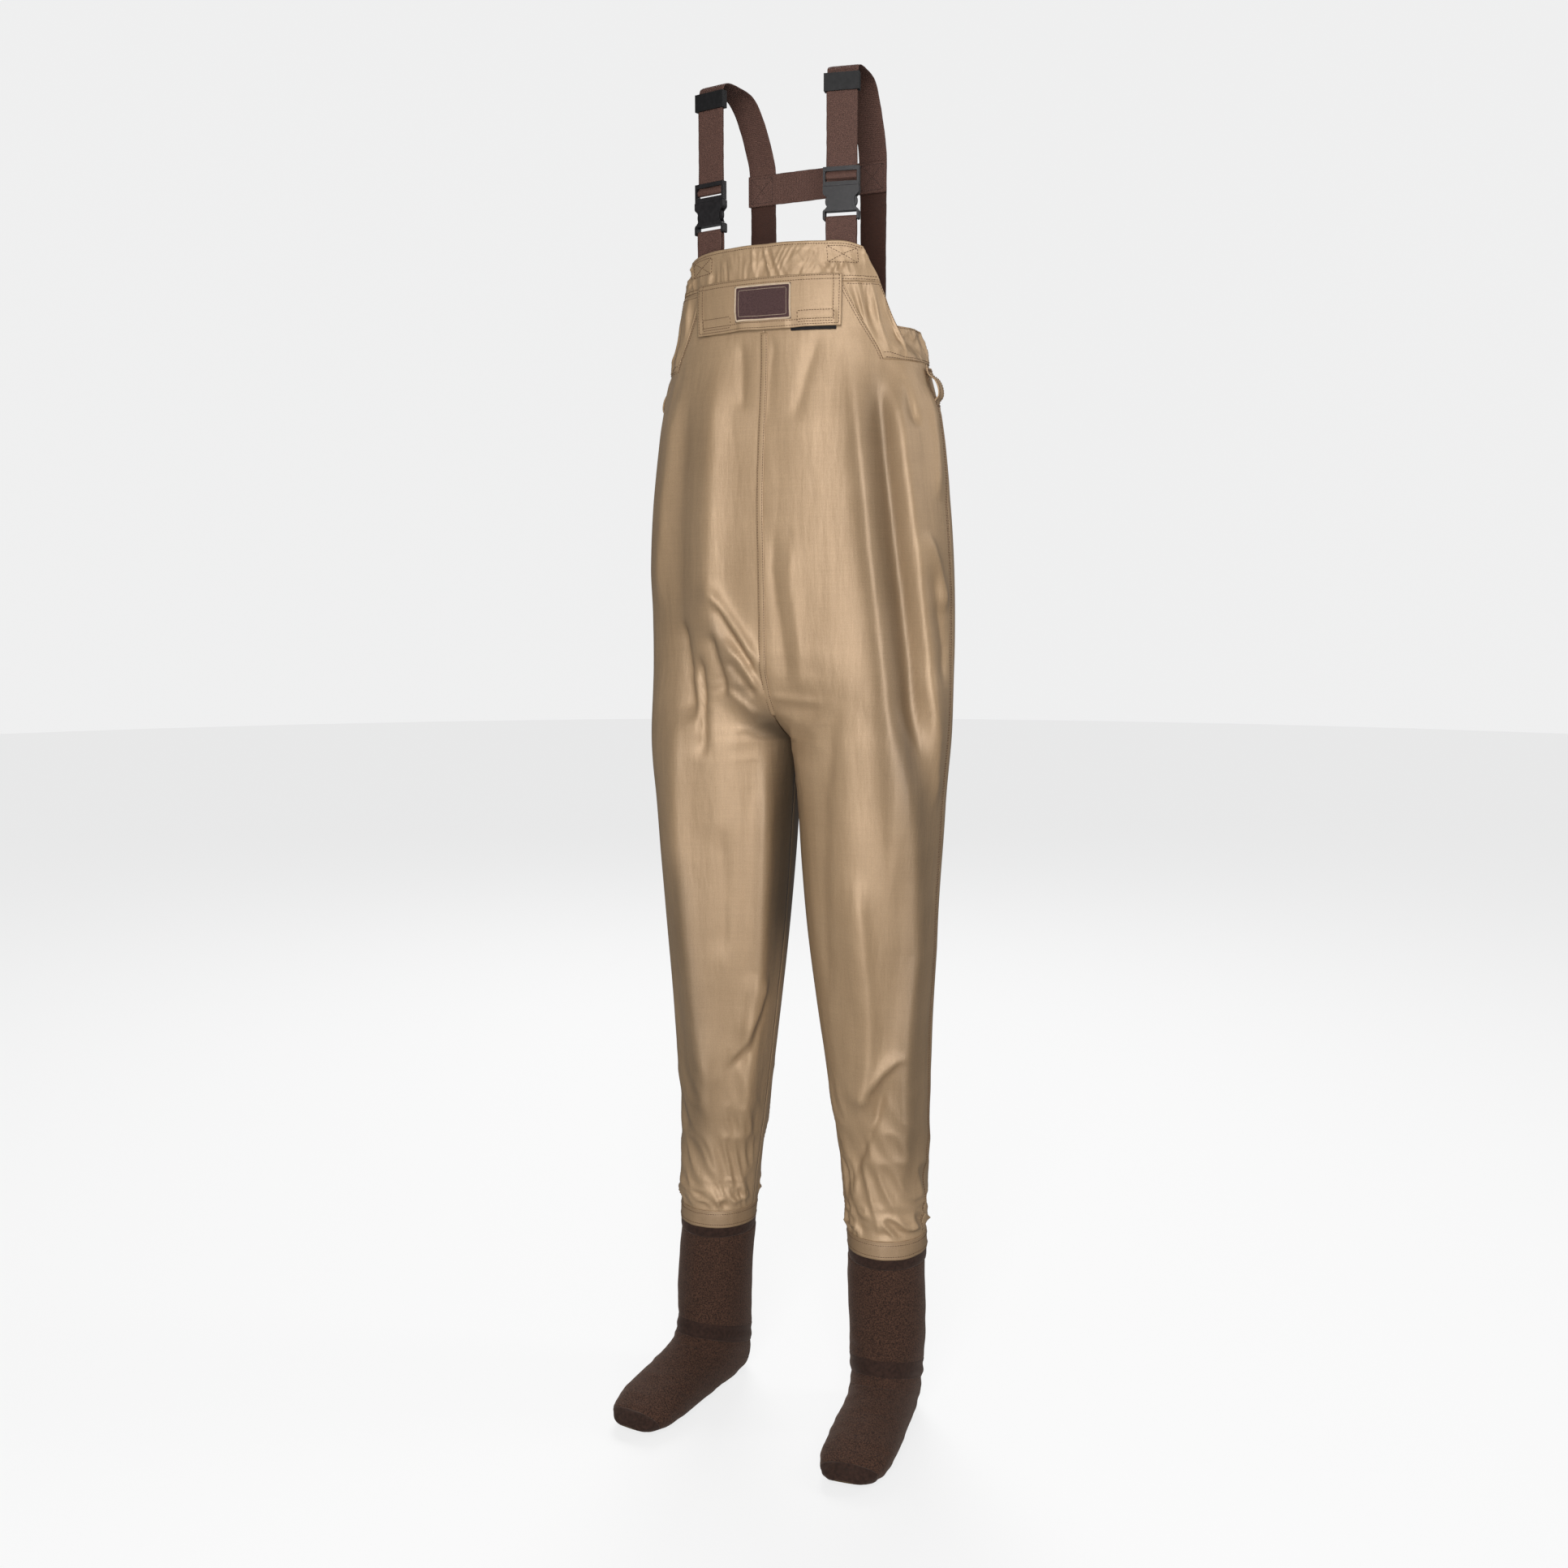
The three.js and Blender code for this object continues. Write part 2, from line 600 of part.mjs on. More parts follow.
for (const { name, sign } of SIDES) {
  const level = (i) => mix(SOCK_TAPE_BOTTOM + GAP, HEM_BOTTOM, i);
  add(`${name}_sock_top_tape`, wall({
    rows: 1,
    columns: TUBE_COLUMNS,
    outer: (i, j) => legRound(j, level(i), 0, sign),
    inner: (i, j) => legRound(j, level(i), NEOPRENE, sign),
    wrap: true,
    flip: sign < 0,
  }), SOCK_TAPE);

  const round = { wrap: true, columns: TUBE_COLUMNS, sign };
  const seam = 0.02; // clearance along SOCK
  const sideSeam = 0.6; // clearance round the section, degrees
  add(`${name}_sock_shaft`, sockPatch({ ...round, from: 0, to: ANKLE_TAPE_START - seam, rows: 5 }), SOCK_CLOTH);
  add(`${name}_ankle_tape`, sockPatch({
    ...round, from: ANKLE_TAPE_START, to: ANKLE_TAPE_END, rows: 2,
  }), SOCK_TAPE);
  add(`${name}_sock_heel`, sockPatch({
    ...round, from: ANKLE_TAPE_END + seam, to: SOLE_START - seam, rows: 2,
  }), SOCK_CLOTH);
  const upper = [-SOLE_EDGE + sideSeam, SOLE_EDGE - sideSeam];
  add(`${name}_sock_foot`, sockPatch({
    from: SOLE_START, to: TOE_TAPE_START - seam, rows: 6, edge: upper, columns: 12, sign,
  }), SOCK_CLOTH);
  add(`${name}_toe_tape`, sockPatch({
    from: TOE_TAPE_START, to: TOE_END, rows: 2, edge: upper, columns: 12, sign,
  }), SOCK_TAPE);
  add(`${name}_sock_sole`, sockPatch({
    from: SOLE_START, to: TOE_END, rows: 8, edge: [SOLE_EDGE, 360 - SOLE_EDGE], columns: 6, sign,
  }), SOLE_CLOTH);
}

// ------------------------------------------------------------------------ buckles

// The shell is a flat hollow box with waisted sides, open at its top mouth and
// through its sides, and with a webbing bar hung below it on two short legs.
const SLOT_HALF = WEB / 2 + 0.4;
const SHELL_SLOT = [BAR, 9]; // low and high edge of the slot over the bar
const MOUTH_HALF = BUCKLE_WIDTH / 2 - SHELL_WALL;
const MOUTH_FLOOR = 12;

function shellOutline() {
  const half = BUCKLE_WIDTH / 2;
  const waist = half - 5.5;
  const outline = new THREE.Shape();
  outline.moveTo(-half + 1, 0);
  outline.lineTo(half - 1, 0);
  outline.quadraticCurveTo(half, 0, half, 2);
  outline.lineTo(half, 8);
  outline.quadraticCurveTo(half, 10.5, half - 2.5, 11.5);
  outline.bezierCurveTo(waist - 1, 13.5, waist - 1, 24.5, half - 2, 26.5);
  outline.quadraticCurveTo(half, 27.5, half, 30);
  outline.lineTo(half, SHELL_HEIGHT);
  outline.lineTo(-half, SHELL_HEIGHT);
  outline.lineTo(-half, 30);
  outline.quadraticCurveTo(-half, 27.5, -half + 2, 26.5);
  outline.bezierCurveTo(-waist + 1, 24.5, -waist + 1, 13.5, -half + 2.5, 11.5);
  outline.quadraticCurveTo(-half, 10.5, -half, 8);
  outline.lineTo(-half, 2);
  outline.quadraticCurveTo(-half, 0, -half + 1, 0);
  return outline;
}

function buckleShell() {
  const inside = SHELL_THICK / 2 - SHELL_WALL;
  const cavity = box([-MOUTH_HALF, -inside, MOUTH_FLOOR], [MOUTH_HALF, inside, SHELL_HEIGHT + 1]);
  const slot = box([-SLOT_HALF, -SHELL_THICK, SHELL_SLOT[0]], [SLOT_HALF, SHELL_THICK, SHELL_SLOT[1]]);
  const barRelief = (face) => box(
    [-SLOT_HALF, Math.min(face * BAR_HALF, face * SHELL_THICK), -1],
    [SLOT_HALF, Math.max(face * BAR_HALF, face * SHELL_THICK), SHELL_SLOT[0] + 1],
  );
  let shell = solid(plate(shellOutline(), SHELL_THICK));
  for (const cut of [cavity, slot, barRelief(1), barRelief(-1)]) shell = shell.subtract(solid(cut));
  return geometryOf(shell);
}

// The male half is a ladder frame for the adjustable webbing, with a short guide
// blade that enters the shell between the prongs.
const LADDER = { lowSlot: [4.5, 9], highSlot: [9 + BAR, 15.8] };
const TOP_BAR_BACK = -1.2; // the top bar is slim, so both layers of webbing pass behind it
const GUIDE_HALF = 3.5;
const GUIDE_DROP = 16;
const BLADE_THICK = 3;

function buckleFrame() {
  const half = BUCKLE_WIDTH / 2;
  const body = box([-half, -MALE_THICK / 2, MALE_BOTTOM], [half, MALE_THICK / 2, MALE_BOTTOM + MALE_HEIGHT]);
  const guide = box([-GUIDE_HALF, -BLADE_THICK / 2, MALE_BOTTOM - GUIDE_DROP], [GUIDE_HALF, BLADE_THICK / 2, MALE_BOTTOM + 1]);
  let frame = solid(body).add(solid(guide));
  for (const [low, high] of [LADDER.lowSlot, LADDER.highSlot]) {
    const window = box([-SLOT_HALF, -MALE_THICK, MALE_BOTTOM + low], [SLOT_HALF, MALE_THICK, MALE_BOTTOM + high]);
    frame = frame.subtract(solid(window));
  }
  const middle = MALE_BOTTOM + (LADDER.lowSlot[1] + LADDER.highSlot[0]) / 2;
  for (const face of [1, -1]) {
    const relief = box(
      [-SLOT_HALF, Math.min(face * BAR_HALF, face * MALE_THICK), middle - BAR],
      [SLOT_HALF, Math.max(face * BAR_HALF, face * MALE_THICK), middle + BAR],
    );
    frame = frame.subtract(solid(relief));
  }
  const behindTopBar = box(
    [-SLOT_HALF, TOP_BAR_BACK, MALE_BOTTOM + LADDER.highSlot[1] - 1],
    [SLOT_HALF, MALE_THICK, MALE_BOTTOM + MALE_HEIGHT + 1],
  );
  frame = frame.subtract(solid(behindTopBar));
  return geometryOf(frame);
}

// A prong hangs from the male half and carries the thumb pad that shows in the
// side of the shell.  Its pivot is its flexing root.
const PRONG_ROOT = 11;
const PRONG_TOP = MALE_BOTTOM - GAP;
const PRONG_THICK = 4.2;

function prong(sign) {
  const pad = MOUTH_HALF - 0.5;
  const outline = new THREE.Shape();
  outline.moveTo(sign * (PRONG_ROOT - 1.5), PRONG_TOP);
  outline.lineTo(sign * (PRONG_ROOT - 1), 18);
  outline.quadraticCurveTo(sign * (PRONG_ROOT - 0.5), 14, sign * (PRONG_ROOT + 3), 14);
  outline.quadraticCurveTo(sign * pad, 14.5, sign * pad, 20);
  outline.quadraticCurveTo(sign * pad, 25, sign * (PRONG_ROOT + 3.5), 26);
  outline.lineTo(sign * (PRONG_ROOT + 2), PRONG_TOP);
  outline.closePath();
  return plate(outline, PRONG_THICK);
}

// ------------------------------------------------------------------- front braces

// The webbing turns round the shell's bar and both layers go down behind the bib.
const LOWER_END = 1364;

function lowerStrap() {
  const bend = 2.6;
  const barMiddle = BUCKLE_BOTTOM + BAR / 2;
  const stations = [[0, bend, LOWER_END, 0], [0, bend, LOWER_END + 30, 0], [0, bend, barMiddle - 3, 0]];
  for (let i = 0; i <= 6; i += 1) {
    const angle = Math.PI * i / 6;
    stations.push([0, bend * Math.cos(angle), barMiddle + bend * Math.sin(angle), 0]);
  }
  stations.push([0, -bend, barMiddle - 3, 0], [0, -bend, LOWER_END + 30, 0], [0, -bend, LOWER_END, 0]);
  return ribbon(stations, WEB, WEB_THICK, 26);
}

// The short turn of webbing round the middle bar of the ladder frame.
const LADDER_MIDDLE = BUCKLE_BOTTOM + MALE_BOTTOM + (LADDER.lowSlot[1] + LADDER.highSlot[0]) / 2;
const TURN_BEND = 2.6;
const LOAD_LAYER = 2.2; // y of the load-bearing layer in the brace's own frame
const TAIL_LAYER = 0;

function strapTurn() {
  const stations = [[0, LOAD_LAYER, LADDER_MIDDLE + 7, 0], [0, TURN_BEND, LADDER_MIDDLE + 2.5, 0]];
  for (let i = 0; i <= 6; i += 1) {
    const angle = Math.PI * i / 6;
    stations.push([0, TURN_BEND * Math.cos(angle), LADDER_MIDDLE - TURN_BEND * Math.sin(angle), 0]);
  }
  stations.push([0, -TURN_BEND, LADDER_MIDDLE + 1.4, 0], [0, -1.2, LADDER_MIDDLE + 3.4, 0]);
  stations.push([0, TAIL_LAYER, LADDER_MIDDLE + 5, 0], [0, TAIL_LAYER, LADDER_MIDDLE + 7, 0]);
  return ribbon(stations, WEB, WEB_THICK, 22);
}

// Two layers run from the turn up to the shoulder: the load-bearing one behind
// and the adjusting tail in front, held together by the keeper.
const RUN_BOTTOM = LADDER_MIDDLE + 7 + GAP;

function strapLayer(y, top) {
  return box([-WEB / 2, y - WEB_THICK / 2, RUN_BOTTOM], [WEB / 2, y + WEB_THICK / 2, top]);
}

const KEEPER_WALL = 2;

function keeper() {
  const clear = 0.5;
  const top = KEEPER_BOTTOM + KEEPER_HEIGHT;
  const low = [-WEB / 2 - clear, TAIL_LAYER - WEB_THICK / 2 - clear, KEEPER_BOTTOM - 1];
  const high = [WEB / 2 + clear, LOAD_LAYER + WEB_THICK / 2 + clear, top + 1];
  const body = box(
    [low[0] - KEEPER_WALL, low[1] - KEEPER_WALL, KEEPER_BOTTOM],
    [high[0] + KEEPER_WALL, high[1] + KEEPER_WALL, top],
  );
  return geometryOf(solid(body).subtract(solid(box(low, high))));
}

// Over the shoulder and down to the cross strap: y, height, drift towards the
// back strap (0 to 1).
const CROWN = [
  [BRACE_Y + LOAD_LAYER, RUN_TOP + GAP, 0],
  [BRACE_Y + 5, 1588, 0.06],
  [-50, 1592, 0.14],
  [-25, 1593.5, 0.32],
  [0, 1591.5, 0.52],
  [15, 1583, 0.66],
  [33, 1562, 0.82],
  [46, 1540, 0.92],
  [52, 1527, 0.98],
  [BACK_Y, CROSS_TOP + 1.5, 1],
  [BACK_Y, CROSS_BOTTOM + 18, 1],
  [BACK_Y, CROSS_BOTTOM, 1],
];

function shoulderStrap(sign) {
  const stations = CROWN.map(([y, h, drift]) => [
    sign * mix(BRACE_X, BACK_X, drift), y, h, sign * mix(BRACE_YAW, 0, drift),
  ]);
  return ribbon(stations, WEB, WEB_THICK, 28);
}

for (const { name, sign } of SIDES) {
  const brace = new THREE.Group();
  brace.position.set(sign * BRACE_X, BRACE_Y, 0);
  brace.rotation.z = radians(sign * BRACE_YAW);
  waders.add(brace);
  const buckle = new THREE.Group();
  buckle.position.z = BUCKLE_BOTTOM;
  brace.add(buckle);

  add(`${name}_lower_strap`, lowerStrap(), WEBBING, brace);
  add(`${name}_buckle_shell`, buckleShell(), PLASTIC, buckle);
  add(`${name}_buckle_frame`, buckleFrame(), PLASTIC, buckle);
  add(`${name}_outer_prong`, prong(sign), PLASTIC, buckle);
  add(`${name}_inner_prong`, prong(-sign), PLASTIC, buckle);
  add(`${name}_strap_turn`, strapTurn(), WEBBING, brace);
  add(`${name}_strap_run`, strapLayer(LOAD_LAYER, RUN_TOP), WEBBING, brace);
  add(`${name}_strap_tail`, strapLayer(TAIL_LAYER, RUN_TOP), WEBBING, brace);
  add(`${name}_keeper`, keeper(), PLASTIC, brace);
  add(`${name}_shoulder_strap`, shoulderStrap(sign), WEBBING);
}

// -------------------------------------------------------------------- back braces

const CROSS_LAYER = BACK_Y - WEB_THICK - 0.6;
const ELASTIC_THICK = 1.8;
const ELASTIC_LAYER = BACK_Y + WEB_THICK / 2 + ELASTIC_THICK / 2 + GAP;
const CROSS_HALF = BACK_X + WEB / 2 + 0.5;

add('back_cross_strap', box(
  [-CROSS_HALF, CROSS_LAYER - WEB_THICK / 2, CROSS_BOTTOM],
  [CROSS_HALF, CROSS_LAYER + WEB_THICK / 2, CROSS_TOP],
), WEBBING);

// Elastic straps run down from the cross strap and lie on the back band.
const ELASTIC_TURN = -12; // yaw of the lower end, along the band
const ELASTIC_PATH = [
  [ELASTIC_LAYER, CROSS_BOTTOM + 30, 0],
  [ELASTIC_LAYER, CROSS_BOTTOM - 10, 0],
  [57, 1420, 0.35],
  [60, 1350, 0.85],
  [62.8, 1312, 1],
  [67, 1290, 1],
];

for (const { name, sign } of SIDES) {
  const stations = ELASTIC_PATH.map(([y, h, turn]) => [sign * BACK_X, y, h, sign * ELASTIC_TURN * turn]);
  add(`${name}_back_elastic`, ribbon(stations, WEB - 2, ELASTIC_THICK, 14), ELASTIC);
}

export default waders;
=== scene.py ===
# Chest waders of coated nylon with neoprene stocking feet and two webbing braces.
# Lengths in the tables are millimetres, heights h above the soles.  +X is the
# wearer's left and the front faces -Y.  Meshes are made in metres in the row frame.

import math

import bpy
import numpy as np
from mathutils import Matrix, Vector


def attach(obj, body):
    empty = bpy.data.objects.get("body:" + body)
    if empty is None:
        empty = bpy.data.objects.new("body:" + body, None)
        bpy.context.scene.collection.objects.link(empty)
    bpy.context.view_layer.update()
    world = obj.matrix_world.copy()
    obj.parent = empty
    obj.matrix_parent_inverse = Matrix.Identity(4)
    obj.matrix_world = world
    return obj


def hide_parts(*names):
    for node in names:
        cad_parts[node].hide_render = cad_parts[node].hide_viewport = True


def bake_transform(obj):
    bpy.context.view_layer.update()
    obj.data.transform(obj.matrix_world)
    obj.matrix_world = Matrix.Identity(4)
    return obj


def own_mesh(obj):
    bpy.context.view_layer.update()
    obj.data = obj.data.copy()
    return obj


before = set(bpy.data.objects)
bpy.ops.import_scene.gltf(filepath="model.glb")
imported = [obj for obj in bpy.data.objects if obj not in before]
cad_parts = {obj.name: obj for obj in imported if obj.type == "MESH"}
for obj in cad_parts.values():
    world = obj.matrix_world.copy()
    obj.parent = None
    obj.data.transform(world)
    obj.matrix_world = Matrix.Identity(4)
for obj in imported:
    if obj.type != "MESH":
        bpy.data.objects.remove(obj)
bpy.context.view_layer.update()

HANG = 1592.0
SIDES = (("left", 1), ("right", -1))

# ------------------------------------------------------------------ camera, light

AZIMUTH = math.radians(25)
CAMERA_PITCH = math.atan(221 / 1932)
CAMERA_DISTANCE = 1.900
CAMERA_SIDEWAYS = -0.0167
CAMERA_HEIGHT = -0.594
TOWARD = np.array([math.sin(AZIMUTH), -math.cos(AZIMUTH), 0.0])
RIGHTWARD = np.array([math.cos(AZIMUTH), math.sin(AZIMUTH), 0.0])

camera = bpy.data.objects.new("camera", bpy.data.cameras.new("camera"))
camera.data.lens = 36
camera.data.sensor_width = 36
camera.data.clip_start = 0.05
camera.location = Vector(TOWARD * CAMERA_DISTANCE + RIGHTWARD * CAMERA_SIDEWAYS)
camera.location.z = CAMERA_HEIGHT
camera.rotation_euler = (math.radians(90) - CAMERA_PITCH, 0, AZIMUTH)
bpy.context.collection.objects.link(camera)
scene = bpy.context.scene
scene.camera = camera
scene.view_settings.view_transform = "Standard"

SKY_COLOUR, SKY_STRENGTH = (0.97, 0.985, 1.0, 1), 0.21
scene.world = bpy.data.worlds.new("studio")
scene.world.use_nodes = True
sky = scene.world.node_tree.nodes["Background"].inputs
sky["Color"].default_value = SKY_COLOUR
sky["Strength"].default_value = SKY_STRENGTH

LIGHTS_AIM = Vector((0, 0, -0.75))
# name, azimuth, elevation, distance, width, height, power
LIGHTS = (
    ("key", 20, 8, 2.8, 1.35, 2.4, 101),
    ("side_strip", 112, 30, 2.6, 0.5, 1.6, 16),
    ("back_fill", 208, 46, 3.0, 1.5, 2.4, 95),
)


def softbox(name, azimuth, elevation, distance, width, height, power):
    a, e = math.radians(azimuth), math.radians(elevation)
    way = Vector((math.sin(a) * math.cos(e), -math.cos(a) * math.cos(e), math.sin(e)))
    data = bpy.data.lights.new(name, "AREA")
    data.shape = "RECTANGLE"
    data.size = width
    data.size_y = height
    data.energy = power
    lamp = bpy.data.objects.new(name, data)
    lamp.location = LIGHTS_AIM + way * distance
    lamp.rotation_euler = (-way).to_track_quat("-Z", "Y").to_euler()
    bpy.context.collection.objects.link(lamp)


FLOOR_LEVEL = -HANG / 1000 - 0.0045
BACKDROP_RADIUS, BACKDROP_TOP, BACKDROP_SIDES = 12.0, 14.0, 64
FLOOR_PALE, FLOOR_GLOW = 0.15, 5.15
BACKDROP_PALE, BACKDROP_GLOW = 0.30, 2.64


def stage_piece(name, verts, faces, pale, glow):
    """A piece of the studio: it glows, and is left out of the light that reaches the object."""
    colour = (pale, pale, pale, 1)
    mesh = bpy.data.meshes.new(name)
    mesh.from_pydata(verts, [], faces)
    obj = bpy.data.objects.new(name, mesh)
    bpy.context.collection.objects.link(obj)
    paint = bpy.data.materials.new(name)
    paint.use_nodes = True
    paper = paint.node_tree.nodes["Principled BSDF"].inputs
    paper["Base Color"].default_value = colour
    paper["Roughness"].default_value = 0.95
    paper["Specular IOR Level"].default_value = 0.1
    paper["Emission Color"].default_value = colour
    paper["Emission Strength"].default_value = glow
    mesh.materials.append(paint)
    obj.visible_diffuse = obj.visible_glossy = False
    obj.visible_transmission = obj.visible_shadow = False


sides = range(BACKDROP_SIDES)
turns = [k * 2 * math.pi / BACKDROP_SIDES for k in sides]
disc = [(BACKDROP_RADIUS * math.cos(a), BACKDROP_RADIUS * math.sin(a)) for a in turns]
stage_piece("floor", [(x, y, FLOOR_LEVEL) for x, y in disc], [tuple(sides)], FLOOR_PALE, FLOOR_GLOW)
wall_verts = [(x, y, z) for z in (FLOOR_LEVEL, BACKDROP_TOP) for x, y in disc]
ahead = [(k + 1) % BACKDROP_SIDES for k in sides]
wall_faces = [(k, k + BACKDROP_SIDES, n + BACKDROP_SIDES, n) for k, n in zip(sides, ahead)]
stage_piece("backdrop", wall_verts, wall_faces, BACKDROP_PALE, BACKDROP_GLOW)

for light in LIGHTS:
    softbox(*light)

# ---------------------------------------------------------------- garment's tables

# height, half width, front depth, back depth
TORSO = np.array([
    [838, 187.5, 90, 106], [886, 190, 97, 114], [964, 191.5, 99, 120], [1042, 190.5, 102, 118],
    [1118, 186, 104, 110], [1195, 178, 99, 96], [1232, 171, 95, 86], [1272, 160, 92, 75],
    [1310, 149, 92, 66], [1357, 143, 92, 62], [1410, 136, 91, 58],
], float)

# height, centre x, half width, front depth, back depth, centre y
LEG = np.array([
    [200, 117.5, 47.5, 48.5, 48.5, 11], [234, 116, 48.5, 49, 49, 12], [281, 113, 50, 51, 51, 14],
    [333, 109, 53, 54, 54, 15], [414, 104, 59.5, 60, 60, 13], [500, 99, 66.5, 67, 67, 9],
    [600, 95, 75.5, 76, 76, 5], [686, 93.5, 82, 82, 84, 3], [767, 93.5, 87.5, 86, 94, 2],
    [838, 94, 93.6, 90, 104, 0], [948, 95, 94.6, 92, 110, 0],
], float)

# station, front forward, front height, back forward, back height, half width, shift
SOCK = np.array([
    [0, 37.5, 200, -59.5, 200, 47.5, -3.5], [1, 42, 150, -55, 150, 47.5, -1.5],
    [2, 44, 112, -55, 104, 47, 0], [3, 48, 90, -58, 58, 45, 0], [4, 56, 74, -60, 30, 43, 0],
    [5, 67, 66, -53, 6, 41, 0], [6, 82, 60, -22, -2.5, 40, 1], [7, 102, 54, 20, -2.5, 40.5, 1],
    [8, 122, 48, 62, -2.5, 41.5, 1], [9, 142, 42, 102, -2.5, 42, 1], [10, 160, 35, 136, -2, 40, 0],
    [11, 173, 27, 160, 1, 34, -1], [12, 181, 18, 175, 5, 24, -2], [13, 184.5, 11.8, 184.5, 10.6, 12, -3],
], float)

CROTCH, SADDLE, SADDLE_REACH = 838.0, 110.0, 0.45
POWER = 2.2
LEG_SPACING = 0.8
CASING_SEAM, SIDE_TOP, BAND_SEAM, BIB_TOP = 1272.0, 1309.0, 1357.0, 1400.0
HEM_TOP, HEM_BOTTOM, SOCK_TAPE_BOTTOM = 234.0, 214.0, 200.0
GUSSET_SEAM = np.array([[1272, 0.6], [1290, 0.571], [1322, 0.49], [1357, 0.4]], float)
BIB_EDGE = np.array([[1309, 0.749], [1357, 0.645], [1400, 0.53]], float)
GUSSET_BACK = 0.5
FLAP_TOP, FLAP_BOTTOM, FLAP_HALF = 1363.0, 1306.0, 88.0


# ------------------------------------------------------------------------ helpers

def mix(a, b, s):
    return a + (b - a) * s


def smooth(a, b, x):
    s = np.clip((np.asarray(x, float) - a) / (b - a), 0, 1)
    return s * s * (3 - 2 * s)


def along(table, key, column):
    """A smooth curve through one column of a table whose first column is its key."""
    k, v = table[:, 0], table[:, column]
    last = len(k) - 1
    before = np.maximum(np.arange(last + 1) - 1, 0)
    after = np.minimum(np.arange(last + 1) + 1, last)
    slope = (v[after] - v[before]) / (k[after] - k[before])
    key = np.asarray(key, float)
    i = np.clip(np.searchsorted(k, key) - 1, 0, last - 1)
    span = k[i + 1] - k[i]
    s = np.clip((key - k[i]) / span, 0, 1)
    return ((2 * s**3 - 3 * s**2 + 1) * v[i] + (s**3 - 2 * s**2 + s) * slope[i] * span
            + (3 * s**2 - 2 * s**3) * v[i + 1] + (s**3 - s**2) * slope[i + 1] * span)


def noise(x, y, seed):
    """Smooth random values from -1 to 1 over a plane, one cell per unit."""
    x, y = np.broadcast_arrays(np.asarray(x, float), np.asarray(y, float))
    grid = np.random.default_rng(seed).uniform(-1, 1, (64, 64))
    ix, iy = np.floor(x).astype(int), np.floor(y).astype(int)
    fx, fy = x - ix, y - iy
    fx, fy = fx * fx * (3 - 2 * fx), fy * fy * (3 - 2 * fy)
    ix, iy = ix % 64, iy % 64
    jx, jy = (ix + 1) % 64, (iy + 1) % 64
    return mix(mix(grid[ix, iy], grid[jx, iy], fx), mix(grid[ix, jy], grid[jx, jy], fx), fy)


def creased(x, y, seed):
    """Like noise, but with narrow crests between broad hollows, as cloth folds."""
    return 1 - 2 * np.abs(noise(x, y, seed)) ** 0.8


def metres(points):
    out = np.array(points, float) / 1000
    out[..., 2] -= HANG / 1000
    return out


def unit(v):
    return v / np.maximum(np.linalg.norm(v, axis=-1, keepdims=True), 1e-9)


def grid_normals(p, wrap):
    if wrap:
        across = np.roll(p, -1, 1) - np.roll(p, 1, 1)
    else:
        across = np.gradient(p, axis=1)
    return unit(np.cross(across, np.gradient(p, axis=0)))


def link(name, verts, faces, uv=None, look=None, body="garment", smooth_faces=True):
    mesh = bpy.data.meshes.new(name)
    mesh.from_pydata(verts.tolist() if hasattr(verts, "tolist") else verts, [],
                     faces.tolist() if hasattr(faces, "tolist") else faces)
    if uv is not None:
        layer = mesh.uv_layers.new(name="UVMap")
        loops = np.zeros(len(mesh.loops), np.int32)
        mesh.loops.foreach_get("vertex_index", loops)
        layer.data.foreach_set("uv", np.asarray(uv, np.float32)[loops].ravel())
    if smooth_faces:
        mesh.polygons.foreach_set("use_smooth", [True] * len(mesh.polygons))
    obj = bpy.data.objects.new(name, mesh)
    bpy.context.collection.objects.link(obj)
    if look is not None:
        material, slot = look
        obj.data.materials.append(material)
    if body:
        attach(obj, body)
    return obj


